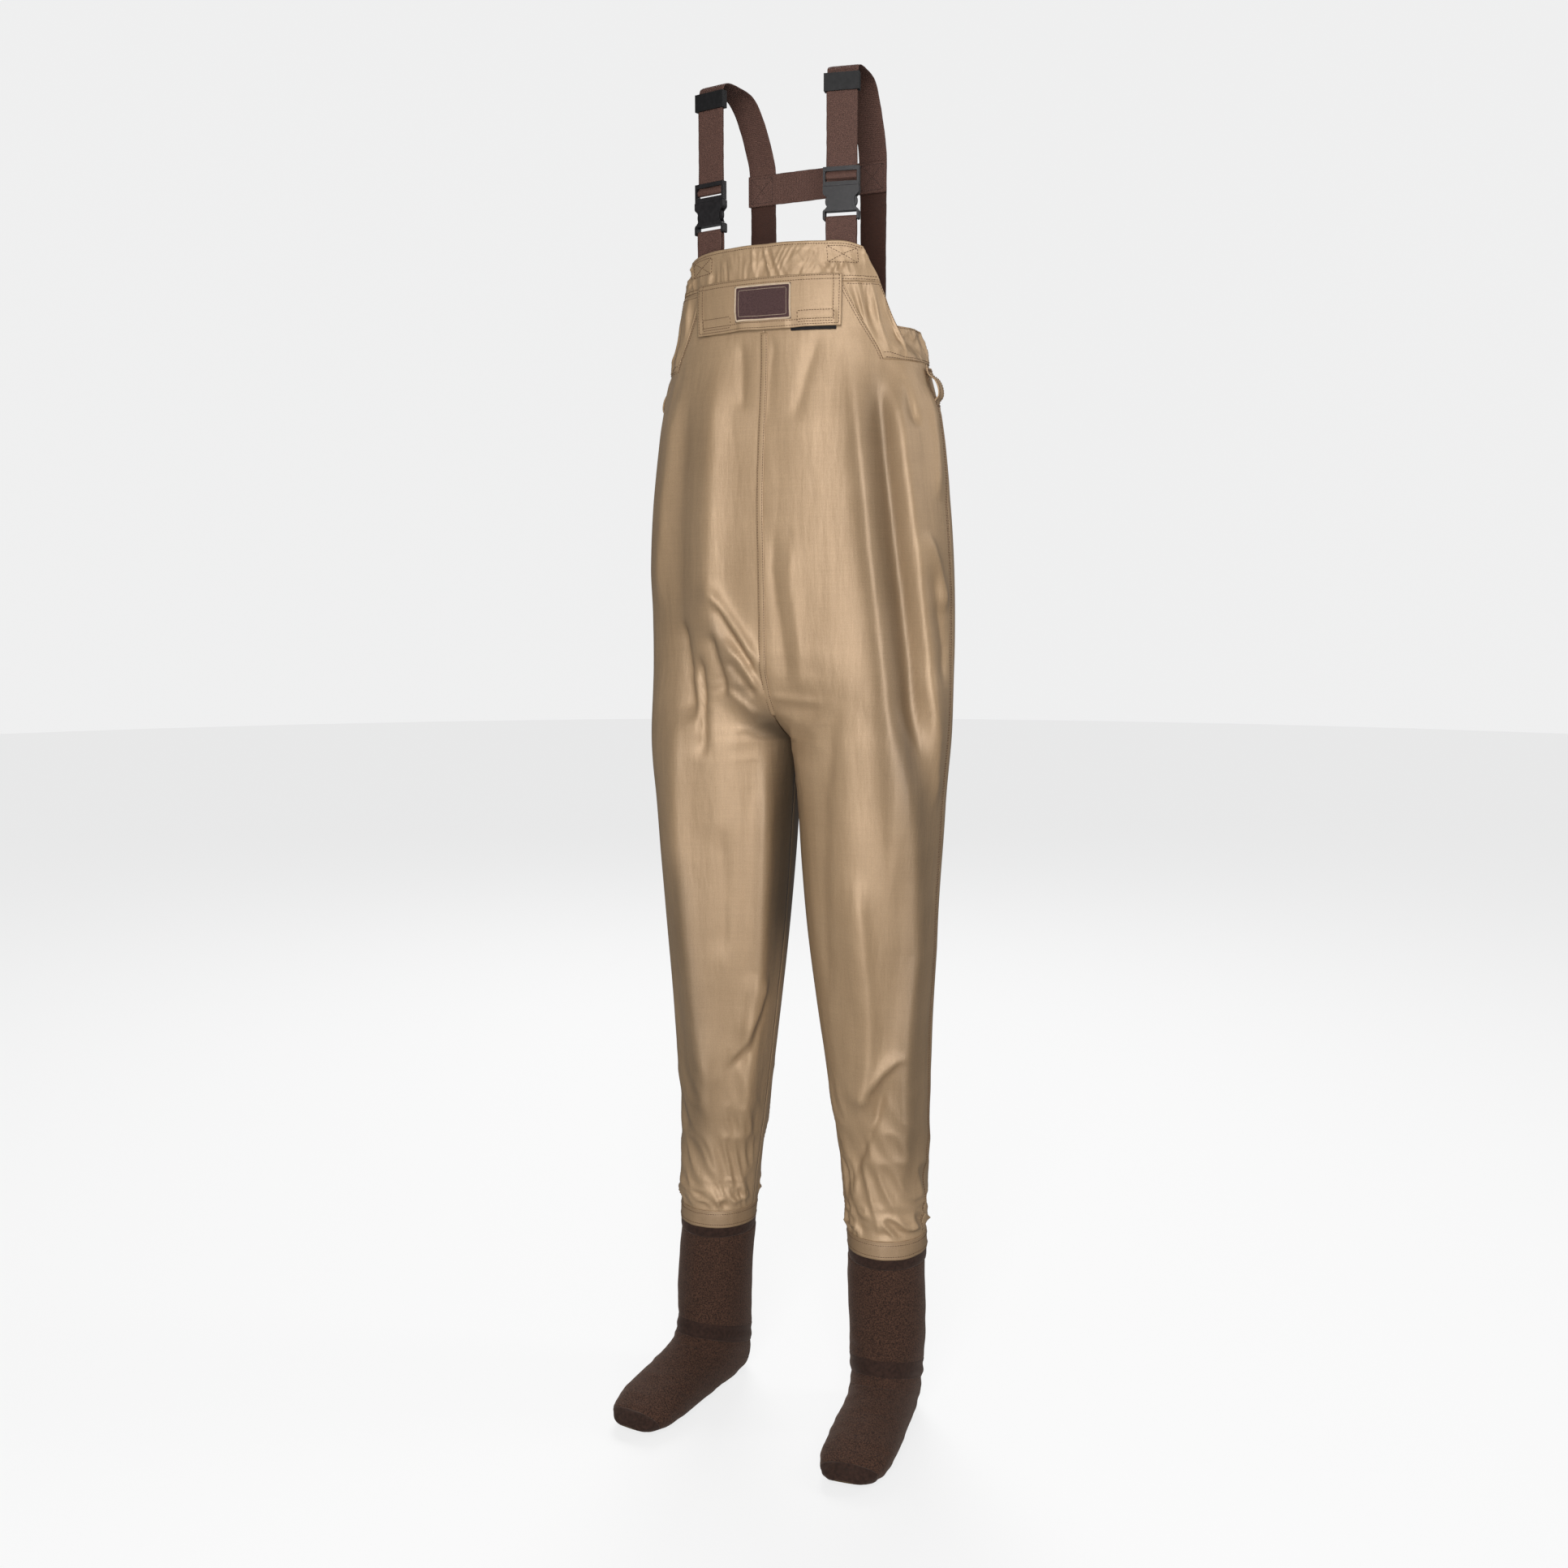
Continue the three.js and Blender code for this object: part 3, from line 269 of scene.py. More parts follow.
def cloth_piece(name, outer, thick, look, wrap=False, keep=None, body="garment", outward=None, shade=None):
    """A closed sheet from a grid of outer points in millimetres (rows, columns, 3)."""
    rows, columns = outer.shape[:2]
    normal = grid_normals(outer, wrap)
    if outward is not None and np.sum(normal * outward) < 0:
        normal = -normal
    inner = outer - normal * thick
    flip = np.sum(np.cross(np.gradient(outer, axis=1), np.gradient(outer, axis=0)) * normal) < 0
    cells_j = columns if wrap else columns - 1
    i, j = np.meshgrid(np.arange(rows - 1), np.arange(cells_j), indexing="ij")
    held = np.ones((rows - 1, cells_j), bool) if keep is None else keep
    nxt = (j + 1) % columns
    a, b = i * columns + j, i * columns + nxt
    c, d = (i + 1) * columns + nxt, (i + 1) * columns + j
    base = rows * columns
    pad = np.zeros((rows + 1, cells_j + 2), bool)
    pad[1:-1, 1:-1] = held
    if wrap:
        pad[1:-1, 0], pad[1:-1, -1] = held[:, -1], held[:, 0]
    faces = [np.stack([a, b, c, d], -1)[held], np.stack([a, d, c, b], -1)[held] + base]
    edges = (
        (pad[:-2, 1:-1], (b, a, a + base, b + base)),
        (pad[2:, 1:-1], (d, c, c + base, d + base)),
        (pad[1:-1, :-2], (a, d, d + base, a + base)),
        (pad[1:-1, 2:], (c, b, b + base, c + base)),
    )
    for neighbour, corners in edges:
        faces.append(np.stack(corners, -1)[held & ~neighbour])
    faces = np.concatenate(faces)
    if flip:
        faces = faces[:, ::-1]
    run = np.concatenate([[0], np.cumsum(np.linalg.norm(np.diff(outer, axis=1), axis=-1).mean(0))])
    rise = np.concatenate([[0], np.cumsum(np.linalg.norm(np.diff(outer, axis=0), axis=-1).mean(1))])
    uv = np.stack(np.meshgrid(run, rise), -1).reshape(-1, 2) / 1000
    verts = metres(np.concatenate([outer.reshape(-1, 3), inner.reshape(-1, 3)]))
    uv = np.concatenate([uv, uv])
    used = np.unique(faces)
    renumber = np.full(len(verts), -1)
    renumber[used] = np.arange(len(used))
    obj = link(name, verts[used], renumber[faces], uv[used], look, body)
    # the shade grid is painted shade, kept as a point attribute that darkens the nylon's colour
    if shade is not None:
        layer = obj.data.attributes.new("shade", "FLOAT", "POINT")
        layer.data.foreach_set("value", np.tile(shade.ravel(), 2)[used].astype(np.float32))
    return obj


def resample(line, pitch):
    """Points at an even pitch along a polyline, with their directions."""
    line = np.asarray(line, float)
    step = np.linalg.norm(np.diff(line[:, :3], axis=0), axis=1)
    reach = np.concatenate([[0], np.cumsum(step)])
    count = max(int(reach[-1] / pitch), 1)
    at = (np.arange(count) + 0.5) * reach[-1] / count
    point = np.stack([np.interp(at, reach, line[:, k]) for k in range(line.shape[1])], -1)
    ahead = np.stack([np.interp(at + 0.4, reach, line[:, k]) for k in range(3)], -1)
    behind = np.stack([np.interp(at - 0.4, reach, line[:, k]) for k in range(3)], -1)
    return point, unit(ahead - behind)


STITCH_LENGTH, STITCH_PITCH, STITCH_RADIUS = 2.3, 3.0, 0.40
STITCH_SIDES = 5


def stitches(name, lines, look, body="garment",
             pitch=STITCH_PITCH, length=STITCH_LENGTH, radius=STITCH_RADIUS):
    """Rows of lock stitches.  A line is (n, 6): points on the cloth and its normals."""
    angle = np.arange(STITCH_SIDES) * 2 * math.pi / STITCH_SIDES
    rings = ((-0.5, 0.35, -0.5), (-0.3, 1.0, 0.25), (0.3, 1.0, 0.25), (0.5, 0.35, -0.5))
    verts, faces = [], []
    cap = [list(range(STITCH_SIDES))[::-1], [3 * STITCH_SIDES + k for k in range(STITCH_SIDES)]]
    template = [[r * STITCH_SIDES + k, r * STITCH_SIDES + (k + 1) % STITCH_SIDES,
                 (r + 1) * STITCH_SIDES + (k + 1) % STITCH_SIDES, (r + 1) * STITCH_SIDES + k]
                for r in range(3) for k in range(STITCH_SIDES)]
    count = 0
    for line in lines:
        point, way = resample(line, pitch)
        up = unit(point[:, 3:])
        side = unit(np.cross(way, up))
        for p, w, u, s in zip(point[:, :3], way, up, side):
            for shift, size, lift in rings:
                ring = (p + w * shift * length + u * lift * radius
                        + (np.cos(angle)[:, None] * s + np.sin(angle)[:, None] * u) * size * radius)
                verts.append(ring)
            faces.extend([[v + count for v in f] for f in template + cap])
            count += 4 * STITCH_SIDES
    return link(name, metres(np.concatenate(verts)), faces, None, look, body)


# ---------------------------------------------------------------------- materials

def shader(name):
    material = bpy.data.materials.new(name)
    material.use_nodes = True
    tree = material.node_tree
    return material, tree, tree.nodes["Principled BSDF"]


def node(tree, kind, **inputs):
    made = tree.nodes.new(kind)
    for key, value in inputs.items():
        target = made.inputs[key]
        if isinstance(value, bpy.types.NodeSocket):
            tree.links.new(value, target)
        else:
            target.default_value = value
    return made


def maths(tree, operation, a, b=0.0):
    made = tree.nodes.new("ShaderNodeMath")
    made.operation = operation
    for index, value in enumerate((a, b)):
        if isinstance(value, bpy.types.NodeSocket):
            tree.links.new(value, made.inputs[index])
        else:
            made.inputs[index].default_value = value
    return made.outputs[0]


def linear(srgb):
    return tuple(((c / 255 + 0.055) / 1.055) ** 2.4 if c > 10 else c / 255 / 12.92 for c in srgb) + (1.0,)


def speckled(tree, coordinates, dark, light, size, detail=3.0, low=0.35, high=0.65):
    spots = node(tree, "ShaderNodeTexNoise", Vector=coordinates, Scale=1 / size, Detail=detail)
    ramp = tree.nodes.new("ShaderNodeValToRGB")
    ramp.color_ramp.elements[0].position = low
    ramp.color_ramp.elements[1].position = high
    ramp.color_ramp.elements[0].color = linear(dark)
    ramp.color_ramp.elements[1].color = linear(light)
    tree.links.new(spots.outputs["Fac"], ramp.inputs["Fac"])
    return ramp.outputs["Color"]


def multiply(tree, a, b):
    made = tree.nodes.new("ShaderNodeMix")
    made.data_type = "RGBA"
    made.blend_type = "MULTIPLY"
    made.inputs[0].default_value = 1.0
    tree.links.new(a, made.inputs[6])
    tree.links.new(b, made.inputs[7])
    return made.outputs[2]


def bump(tree, bsdf, height, strength, distance):
    made = node(tree, "ShaderNodeBump", Height=height, Strength=strength, Distance=distance)
    tree.links.new(made.outputs["Normal"], bsdf.inputs["Normal"])
    return made


def woven(tree, uv, warp, weft):
    """Height of a plain weave with these thread pitches in metres."""
    parts = node(tree, "ShaderNodeSeparateXYZ", Vector=uv)
    waves = [maths(tree, "SINE", maths(tree, "MULTIPLY", parts.outputs[k], 2 * math.pi / pitch))
             for k, pitch in ((0, warp), (1, weft))]
    return maths(tree, "MULTIPLY", waves[0], waves[1])


def stretched(tree, vector, across, up, detail=2.0):
    """Noise whose spots are this wide and this tall, in metres."""
    scale = (1 / across, 1 / across, 1 / up) if vector.name == "Object" else (1 / across, 1 / up, 1)
    sized = tree.nodes.new("ShaderNodeVectorMath")
    sized.operation = "MULTIPLY"
    tree.links.new(vector, sized.inputs[0])
    sized.inputs[1].default_value = scale
    spots = node(tree, "ShaderNodeTexNoise", Vector=sized.outputs["Vector"], Scale=1.0, Detail=detail)
    return spots.outputs["Fac"]


NYLON_METALLIC, NYLON_SPECULAR = 0.26, 0.6
WARP, WEFT = 0.00075, 0.00060  # thread pitches, in metres
WEBBING_WEAVE = 0.0021
THREAD_SHARE = 0.16  # how much the streaks of thread darken the cloth


def nylon(name, dark, light, rough, slot="nylon"):
    material, tree, bsdf = shader(name)
    uv = tree.nodes.new("ShaderNodeUVMap").outputs["UV"]
    place = tree.nodes.new("ShaderNodeTexCoord").outputs["Object"]
    grain = speckled(tree, place, dark, light, 0.0011, 2.0, 0.2, 0.8)
    cloud = speckled(tree, place, (238, 236, 232), (255, 255, 255), 0.09, 3.0, 0.3, 0.7)
    # painted shade: the cloth's "shade" attribute darkens the base colour
    shade = tree.nodes.new("ShaderNodeAttribute")
    shade.attribute_name = "shade"
    threads = maths(tree, "ADD", stretched(tree, uv, 0.0014, 0.045), stretched(tree, uv, 0.05, 0.0016))
    value = maths(tree, "ADD", maths(tree, "MULTIPLY", threads, THREAD_SHARE), 1 - THREAD_SHARE)
    value = maths(tree, "MULTIPLY", value, maths(tree, "SUBTRACT", 1.0, shade.outputs["Fac"]))
    tone = node(tree, "ShaderNodeCombineXYZ", X=value, Y=value, Z=value)
    colour = multiply(tree, multiply(tree, grain, cloud), tone.outputs["Vector"])
    tree.links.new(colour, bsdf.inputs["Base Color"])
    patchy = node(tree, "ShaderNodeTexNoise", Vector=place, Scale=14.0, Detail=4.0)
    spread = node(tree, "ShaderNodeMapRange", Value=patchy.outputs["Fac"])
    spread.inputs["To Min"].default_value = rough - 0.05
    spread.inputs["To Max"].default_value = rough + 0.06
    tree.links.new(spread.outputs["Result"], bsdf.inputs["Roughness"])
    bsdf.inputs["Metallic"].default_value = NYLON_METALLIC
    bsdf.inputs["Specular IOR Level"].default_value = NYLON_SPECULAR
    crinkle = stretched(tree, place, 0.013, 0.06, 4.0)
    creases = node(tree, "ShaderNodeBump", Height=crinkle, Strength=0.5, Distance=0.0022)
    weave = bump(tree, bsdf, woven(tree, uv, WARP, WEFT), 0.25, 0.00006)
    tree.links.new(creases.outputs["Normal"], weave.inputs["Normal"])
    return material, slot


def knit(name, dark, light, slot, size=0.0016):
    material, tree, bsdf = shader(name)
    place = tree.nodes.new("ShaderNodeTexCoord").outputs["Object"]
    tree.links.new(speckled(tree, place, dark, light, size), bsdf.inputs["Base Color"])
    pile = node(tree, "ShaderNodeTexNoise", Vector=place, Scale=900.0, Detail=3.0)
    bsdf.inputs["Roughness"].default_value = 0.92
    bsdf.inputs["Specular IOR Level"].default_value = 0.25
    bsdf.inputs["Sheen Weight"].default_value = 0.22
    bsdf.inputs["Sheen Roughness"].default_value = 0.5
    bsdf.inputs["Sheen Tint"].default_value = (0.5, 0.38, 0.32, 1)
    bump(tree, bsdf, pile.outputs["Fac"], 0.5, 0.0006)
    return material, slot


def plastic(name, colour, rough, slot="buckle_plastic"):
    material, tree, bsdf = shader(name)
    place = tree.nodes.new("ShaderNodeTexCoord").outputs["Object"]
    tree.links.new(speckled(tree, place, colour, [c + 9 for c in colour], 0.004), bsdf.inputs["Base Color"])
    bsdf.inputs["Specular IOR Level"].default_value = 0.34
    texture = node(tree, "ShaderNodeTexNoise", Vector=place, Scale=2500.0, Detail=2.0)
    scuff = node(tree, "ShaderNodeTexNoise", Vector=place, Scale=160.0, Detail=4.0)
    spread = node(tree, "ShaderNodeMapRange", Value=scuff.outputs["Fac"])
    spread.inputs["To Min"].default_value = rough - 0.08
    spread.inputs["To Max"].default_value = rough + 0.1
    tree.links.new(spread.outputs["Result"], bsdf.inputs["Roughness"])
    bump(tree, bsdf, texture.outputs["Fac"], 0.12, 0.0002)
    return material, slot


def strapping(name, dark, light, slot, rough=0.72):
    material, tree, bsdf = shader(name)
    uv = tree.nodes.new("ShaderNodeUVMap").outputs["UV"]
    place = tree.nodes.new("ShaderNodeTexCoord").outputs["Object"]
    tree.links.new(speckled(tree, place, dark, light, 0.0009), bsdf.inputs["Base Color"])
    bsdf.inputs["Roughness"].default_value = rough
    bsdf.inputs["Specular IOR Level"].default_value = 0.25
    bsdf.inputs["Sheen Weight"].default_value = 0.05
    bsdf.inputs["Sheen Tint"].default_value = (0.7, 0.55, 0.5, 1)
    bump(tree, bsdf, woven(tree, uv, WEBBING_WEAVE, WEBBING_WEAVE), 0.35, 0.0003)
    return material, slot


def thread(name, colour, slot):
    material, tree, bsdf = shader(name)
    place = tree.nodes.new("ShaderNodeTexCoord").outputs["Object"]
    tree.links.new(speckled(tree, place, [c - 14 for c in colour], colour, 0.002), bsdf.inputs["Base Color"])
    bsdf.inputs["Roughness"].default_value = 0.6
    twist = node(tree, "ShaderNodeTexNoise", Vector=place, Scale=3000.0)
    bump(tree, bsdf, twist.outputs["Fac"], 0.3, 0.0002)
    return material, slot


NYLON = nylon("nylon_tan", (156, 130, 100), (174, 146, 114), 0.54)
NYLON_CUFF = nylon("nylon_cuff", (140, 115, 88), (156, 130, 100), 0.56)
NYLON_LINING = nylon("nylon_lining", (120, 96, 74), (132, 107, 83), 0.6)
NYLON_THREAD = thread("thread_tan", (100, 76, 53), "nylon")
NEOPRENE_KNIT = knit("neoprene_knit", (31, 17, 11), (71, 48, 36), "neoprene")
SEAM_TAPE = knit("seam_tape", (34, 20, 14), (48, 31, 24), "seam_tape", 0.004)
SOLE_KNIT = knit("sole_knit", (54, 43, 26), (80, 65, 43), "sole_neoprene")
TAPE_THREAD = thread("thread_brown", (70, 50, 40), "neoprene")
WEBBING = strapping("webbing_brown", (62, 42, 36), (94, 67, 58), "webbing")
WEBBING_THREAD = thread("thread_webbing", (58, 40, 34), "webbing")
ELASTIC = strapping("elastic_dark", (44, 24, 16), (60, 34, 24), "elastic", 0.66)
PLASTIC = plastic("plastic_black", (24, 22, 23), 0.36)
PLASTIC_KEEPER = plastic("plastic_keeper", (8, 7, 8), 0.6)
HOOK_TAPE = knit("hook_tape", (16, 14, 14), (36, 33, 33), "hook_tape", 0.0012)
LABEL = knit("label_plum", (60, 42, 42), (74, 54, 53), "label", 0.0014)
LABEL_BORDER = thread("label_border", (190, 170, 146), "label")

# ------------------------------------------------------------------ body surfaces


def torso_point(t, h, face):
    half, depth = along(TORSO, h, 1), along(TORSO, h, 2 if face < 0 else 3)
    angle = t * math.pi / 2
    sine, cosine = np.abs(np.sin(angle)), np.maximum(np.cos(angle), 0)
    x = half * sine ** (2 / POWER) * np.sign(t)
    return np.stack([x, face * depth * cosine ** (2 / POWER), h + 0 * x], -1)


def leg_point(t, h, face):
    half, depth = along(LEG, h, 2), along(LEG, h, 3 if face < 0 else 4)
    angle = np.maximum(t, 0) ** LEG_SPACING * math.pi
    x = along(LEG, h, 1) - half * np.cos(angle)
    return np.stack([x, along(LEG, h, 5) + face * depth * np.sin(angle), h + 0 * x], -1)


def leg_share(t, h):
    rise = np.clip((h - CROTCH) / SADDLE, 0, 1)
    saddle = 1 - np.sqrt(1 - (1 - rise) ** 2)
    gentle = 1 - smooth(0, 1, rise)
    return mix(saddle, gentle, smooth(0, SADDLE_REACH, t))


def body_point(t, h, face):
    share = leg_share(t, h)[..., None]
    return mix(torso_point(t, h, face), leg_point(t, h, face), share)


def body_outward(point, t, h, face):
    half, depth = along(TORSO, h, 1), along(TORSO, h, 2 if face < 0 else 3)
    trunk = unit(np.stack([point[..., 0] / half**2, point[..., 1] / depth**2, 0 * h], -1) * 100)
    lx, ly = along(LEG, h, 1), along(LEG, h, 5)
    half, depth = along(LEG, h, 2), along(LEG, h, 3 if face < 0 else 4)
    limb = unit(np.stack([(point[..., 0] - lx) / half**2, (point[..., 1] - ly) / depth**2, 0 * h], -1) * 100)
    return unit(mix(trunk, limb, leg_share(t, h)[..., None]))


# Folds on the side that faces the camera, each a line of (across, height) with a
# height of fold, a width, and how much steeper its right flank is.  "across" runs
# along RIGHTWARD.  The first entry says which leg: +1 left, -1 right, 0 both.
CAMERA_FOLDS = [
    (-1, 5.0, 12, 0.3, [(-131, 1262), (-149, 1199), (-159, 1122), (-166, 1040), (-168, 980)]),
    (-1, 10.0, 30, 0.5, [(-88, 1310), (-92, 1237), (-97, 1159), (-100, 1091), (-103, 1030), (-99, 985),
                         (-88, 930), (-70, 870)]),
    (-1, -6.0, 24, 0.2, [(-126, 1270), (-136, 1190), (-141, 1100), (-142, 1000), (-138, 920), (-132, 850)]),
    (-1, -2.5, 7, 0.0, [(-66, 1300), (-64, 1262), (-63, 1212)]),
    (0, -2.0, 8, 0.0, [(-26, 1304), (-32, 1260), (-38, 1190)]),
    (1, -2.5, 10, 0.0, [(24, 1304), (10, 1262), (-8, 1196)]),
    (1, 11.0, 24, -0.6, [(56, 1304), (62, 1230), (70, 1150), (79, 1060), (88, 990), (97, 910), (104, 820),
                         (108, 720), (106, 620)]),
    (1, -12.0, 16, 0.5, [(84, 1292), (90, 1230), (97, 1160), (106, 1085), (116, 1010), (125, 940), (131, 870),
                         (132, 780)]),
    (1, 11.0, 18, -0.5, [(98, 1288), (106, 1230), (114, 1160), (124, 1085), (134, 1010), (143, 940), (147, 870),
                         (148, 780)]),
    (1, -5.0, 6, 0.3, [(112, 1264), (122, 1232), (132, 1192)]),
    (1, 4.0, 10, -0.4, [(144, 1258), (154, 1180), (156, 1110)]),
    (1, 5.0, 8, 0.4, [(138, 1082), (150, 1050), (160, 1014), (163, 985)]),
    (1, -5.0, 8, 0.3, [(146, 1050), (154, 1000), (162, 950), (160, 900)]),
    (-1, -7.0, 8, 0.5, [(-99, 1008), (-82, 973), (-64, 942), (-44, 912)]),
    (-1, 7.5, 9, 0.5, [(-106, 1030), (-88, 998), (-66, 966), (-46, 936), (-32, 905)]),
    (-1, 6.0, 6, 0.5, [(-88, 962), (-64, 930), (-44, 900), (-34, 878)]),
    (-1, -3.5, 6, 0.0, [(-84, 936), (-64, 910), (-44, 886)]),
    (-1, 3.5, 6, 0.5, [(-90, 905), (-66, 885), (-42, 866)]),
    (1, -3.0, 12, 0.3, [(-27, 1094), (-31, 1040), (-22, 980), (-16, 930), (-14, 885)]),
    (1, 2.5, 12, 0.0, [(-8, 1080), (-10, 1020), (0, 950), (4, 890)]),
    (-1, -8.0, 10, 0.5, [(-142, 985), (-133, 910), (-123, 855)]),
    (-1, 4.0, 8, 0.4, [(-123, 930), (-118, 880), (-117, 825)]),
    (-1, -7.5, 7, 0.5, [(-117, 945), (-113, 880), (-112, 812)]),
    (-1, -7.5, 9, 0.4, [(-102, 970), (-92, 928), (-84, 885)]),
    (-1, 10.0, 26, 0.6, [(-148, 925), (-144, 801), (-140, 702), (-132, 591), (-122, 481), (-112, 412),
                         (-113, 354), (-107, 290)]),
    (-1, 8.0, 17, -0.5, [(-38, 862), (-42, 777), (-45, 679), (-48, 606), (-50, 550), (-63, 481), (-62, 435),
                         (-67, 389), (-69, 331), (-67, 280)]),
    (-1, 5.0, 7, 0.5, [(-40, 550), (-52, 502), (-68, 462), (-92, 424)]),
    (-1, -3.0, 8, 0.5, [(-36, 530), (-50, 484), (-62, 450), (-82, 420)]),
    (-1, -3.0, 14, 0.3, [(-92, 740), (-88, 650), (-92, 560)]),
    (1, -5.0, 18, 0.4, [(48, 905), (36, 848), (28, 777), (26, 677), (30, 600), (36, 500)]),
    (1, 10.0, 22, -0.6, [(108, 900), (116, 840), (120, 780), (126, 727), (134, 591), (127, 504), (124, 435),
                         (127, 343), (124, 255)]),
    (1, 4.5, 8, -0.4, [(134, 931), (149, 849), (153, 760)]),
    (1, 7.0, 20, 0.55, [(62, 700), (74, 620), (80, 560), (84, 504), (83, 459), (74, 412), (70, 340)]),
    (1, 5.5, 8, 0.5, [(126, 468), (113, 463), (98, 446), (84, 424), (75, 395)]),
    (1, -4.5, 10, 0.5, [(106, 448), (100, 418), (93, 389), (80, 354), (68, 325), (62, 284)]),
]

# The same for the other side, with "across" along -RIGHTWARD as seen from behind.
REAR_FOLDS = [
    (0, -4.0, 14, 0.3, [(-70, 1262), (-84, 1180), (-90, 1080), (-86, 980), (-70, 900)]),
    (0, 4.0, 12, -0.3, [(-44, 1250), (-52, 1150), (-50, 1040), (-34, 940)]),
    (0, -4.5, 14, 0.4, [(66, 1262), (86, 1160), (98, 1050), (102, 930), (98, 800)]),
    (0, 4.0, 11, 0.0, [(122, 1240), (136, 1120), (140, 990)]),
    (0, -5.0, 9, 0.2, [(-130, 900), (-90, 872), (-50, 858)]),
    (0, 4.2, 8, 0.0, [(-120, 930), (-84, 900), (-40, 880)]),
    (0, -5.0, 9, 0.2, [(60, 876), (36, 862), (14, 856)]),
    (0, 4.0, 9, 0.0, [(96, 912), (60, 892), (24, 878)]),
    (0, -4.0, 12, 0.2, [(-96, 800), (-104, 680), (-106, 560)]),
    (0, 4.0, 12, 0.4, [(-62, 780), (-70, 640), (-76, 500), (-82, 380), (-88, 280)]),
    (0, -3.6, 10, 0.0, [(96, 760), (100, 640), (96, 520), (98, 400)]),
    (0, 3.6, 12, -0.3, [(128, 780), (126, 640), (122, 500), (118, 360)]),
    (0, -4.0, 7, 0.3, [(-120, 430), (-96, 410), (-76, 372)]),
    (0, 3.4, 7, 0.3, [(80, 440), (100, 424), (124, 382)]),
]

# Painted shade for the camera side, in the same form: dark bands laid into the cloth's colour along its hollows; the
# height of fold is how dark they are.
PAINTED_SHADE_STROKES = [
    (1, 0.36, 20, 0.3, [(80, 1300), (86, 1230), (92, 1150), (100, 1060), (108, 990), (116, 910), (122, 820),
                        (124, 720)]),
    (1, 0.3, 22, 0.0, [(128, 880), (138, 780), (146, 640), (140, 504), (136, 420), (136, 300), (130, 250)]),
    (-1, 0.09, 24, 0.0, [(-120, 1270), (-130, 1160), (-136, 1060), (-138, 960), (-150, 860), (-150, 700)]),
    (-1, 0.28, 16, 0.0, [(-150, 740), (-142, 600), (-130, 480), (-128, 400), (-124, 300), (-122, 256)]),
    (-1, 0.2, 10, 0.0, [(-108, 1000), (-92, 950), (-74, 910), (-48, 874)]),
]


def stroke(u, h, line, height, width, skew):
    """Height of one fold at points (u, h)."""
    line = np.array(line, float)
    total = np.sum(np.linalg.norm(np.diff(line, axis=0), axis=1))
    best = np.full(u.shape, 1e9)
    side, reach = np.zeros(u.shape), np.zeros(u.shape)
    done = 0.0
    for p, q in zip(line[:-1], line[1:]):
        d = q - p
        length = math.hypot(*d)
        s = np.clip(((u - p[0]) * d[0] + (h - p[1]) * d[1]) / length**2, 0, 1)
        du, dh = u - (p[0] + s * d[0]), h - (p[1] + s * d[1])
        far = np.hypot(du, dh)
        near = far < best
        best = np.where(near, far, best)
        side = np.where(near, np.tanh((du * d[1] - dh * d[0]) / length / 3), side)
        reach = np.where(near, (done + s * length) / total, reach)
        done += length
    fade = smooth(0, 0.22, reach) * smooth(0, 0.22, 1 - reach)
    soft = 0.28 * width
    return 1.25 * height * fade * np.exp(-(np.hypot(best, soft) - soft) / (0.75 * width * (1 + skew * side)))


def folds(point, outward, sign, t, h, face):
    """How far the cloth stands off its smooth form, in millimetres."""
    rise = np.zeros(h.shape)
    facing = outward @ TOWARD
    front = smooth(-0.05, 0.35, facing)
    rear = smooth(-0.05, 0.35, -facing)
    across = point @ RIGHTWARD
    for views, weight, u in ((CAMERA_FOLDS, front, across), (REAR_FOLDS, rear, -across)):
        for leg, height, width, skew, line in views:
            if leg in (0, sign):
                rise += weight * stroke(u, h, line, height, width, skew)
    calm = 1 - smooth(0.46, 0.56, t) * smooth(1205, 1266, h)  # no folds under the gussets
    rise *= calm
    round_way = np.arctan2(point[..., 1], point[..., 0] - sign * 95 * leg_share(t, h)) * 60
    drape = noise(round_way / 34 + 7 * sign, h / 260, 11) + 0.5 * noise(round_way / 17, h / 120 + 3 * sign, 12)
    rise += 1.7 * drape * smooth(250, 330, h) * calm
    low = smooth(470, 330, h)
    rise += 2.5 * low * creased(round_way / 24 + h / 55, h / 44, 13)
    bunch = smooth(292, 244, h)
    rise += 4.2 * bunch * creased(round_way / 19 + h / 26, h / 15 + 5 * sign, 14)
    waist = smooth(1190, 1250, h) * smooth(CASING_SEAM, CASING_SEAM - 12, h)
    gather = creased(round_way / 13, h / 90, 15)
    rise += 1.8 * waist * gather * smooth(0.5, 0.66, t)
    crotch = np.exp(-(((h - 862) / 50) ** 2)) * smooth(0.45, 0.1, t)
    rise += 3.0 * crotch * creased(h / 17 + 2 * t, t * 5 + sign, 16)
    inseam = mix(1, smooth(0, 0.12, t), leg_share(t, h))
    trunk_seam = mix(smooth(0.0, 0.05, t) * 0.75 + 0.25, 1, leg_share(t, h))
    hem = smooth(HEM_TOP, HEM_TOP + 14, h)
    pocket = 1 - 0.75 * smooth(1292, 1306, h) * smooth(0.55, 0.45, t)
    return rise * inseam * trunk_seam * (0.12 + 0.88 * hem) * pocket


def cloth(sign, face, t, h, off=0.0):
    """Points on the body cloth of one side, and their outward directions."""
    t, h = np.broadcast_arrays(np.asarray(t, float), np.asarray(h, float))
    point = body_point(t, h, face)
    outward = body_outward(point, t, h, face)
    mirror = np.array([sign, 1, 1.0])
    point, outward = point * mirror, outward * mirror
    rise = folds(point, outward, sign, t, h, face)
    outseam = -0.9 * np.exp(-(((1 - t) * 230 / 1.6) ** 2))
    point = point + outward * (rise + outseam + off)[..., None]
    least = 0.25 * leg_share(t, h)
    point[..., 0] = sign * np.maximum(sign * point[..., 0], least)
    return point, outward


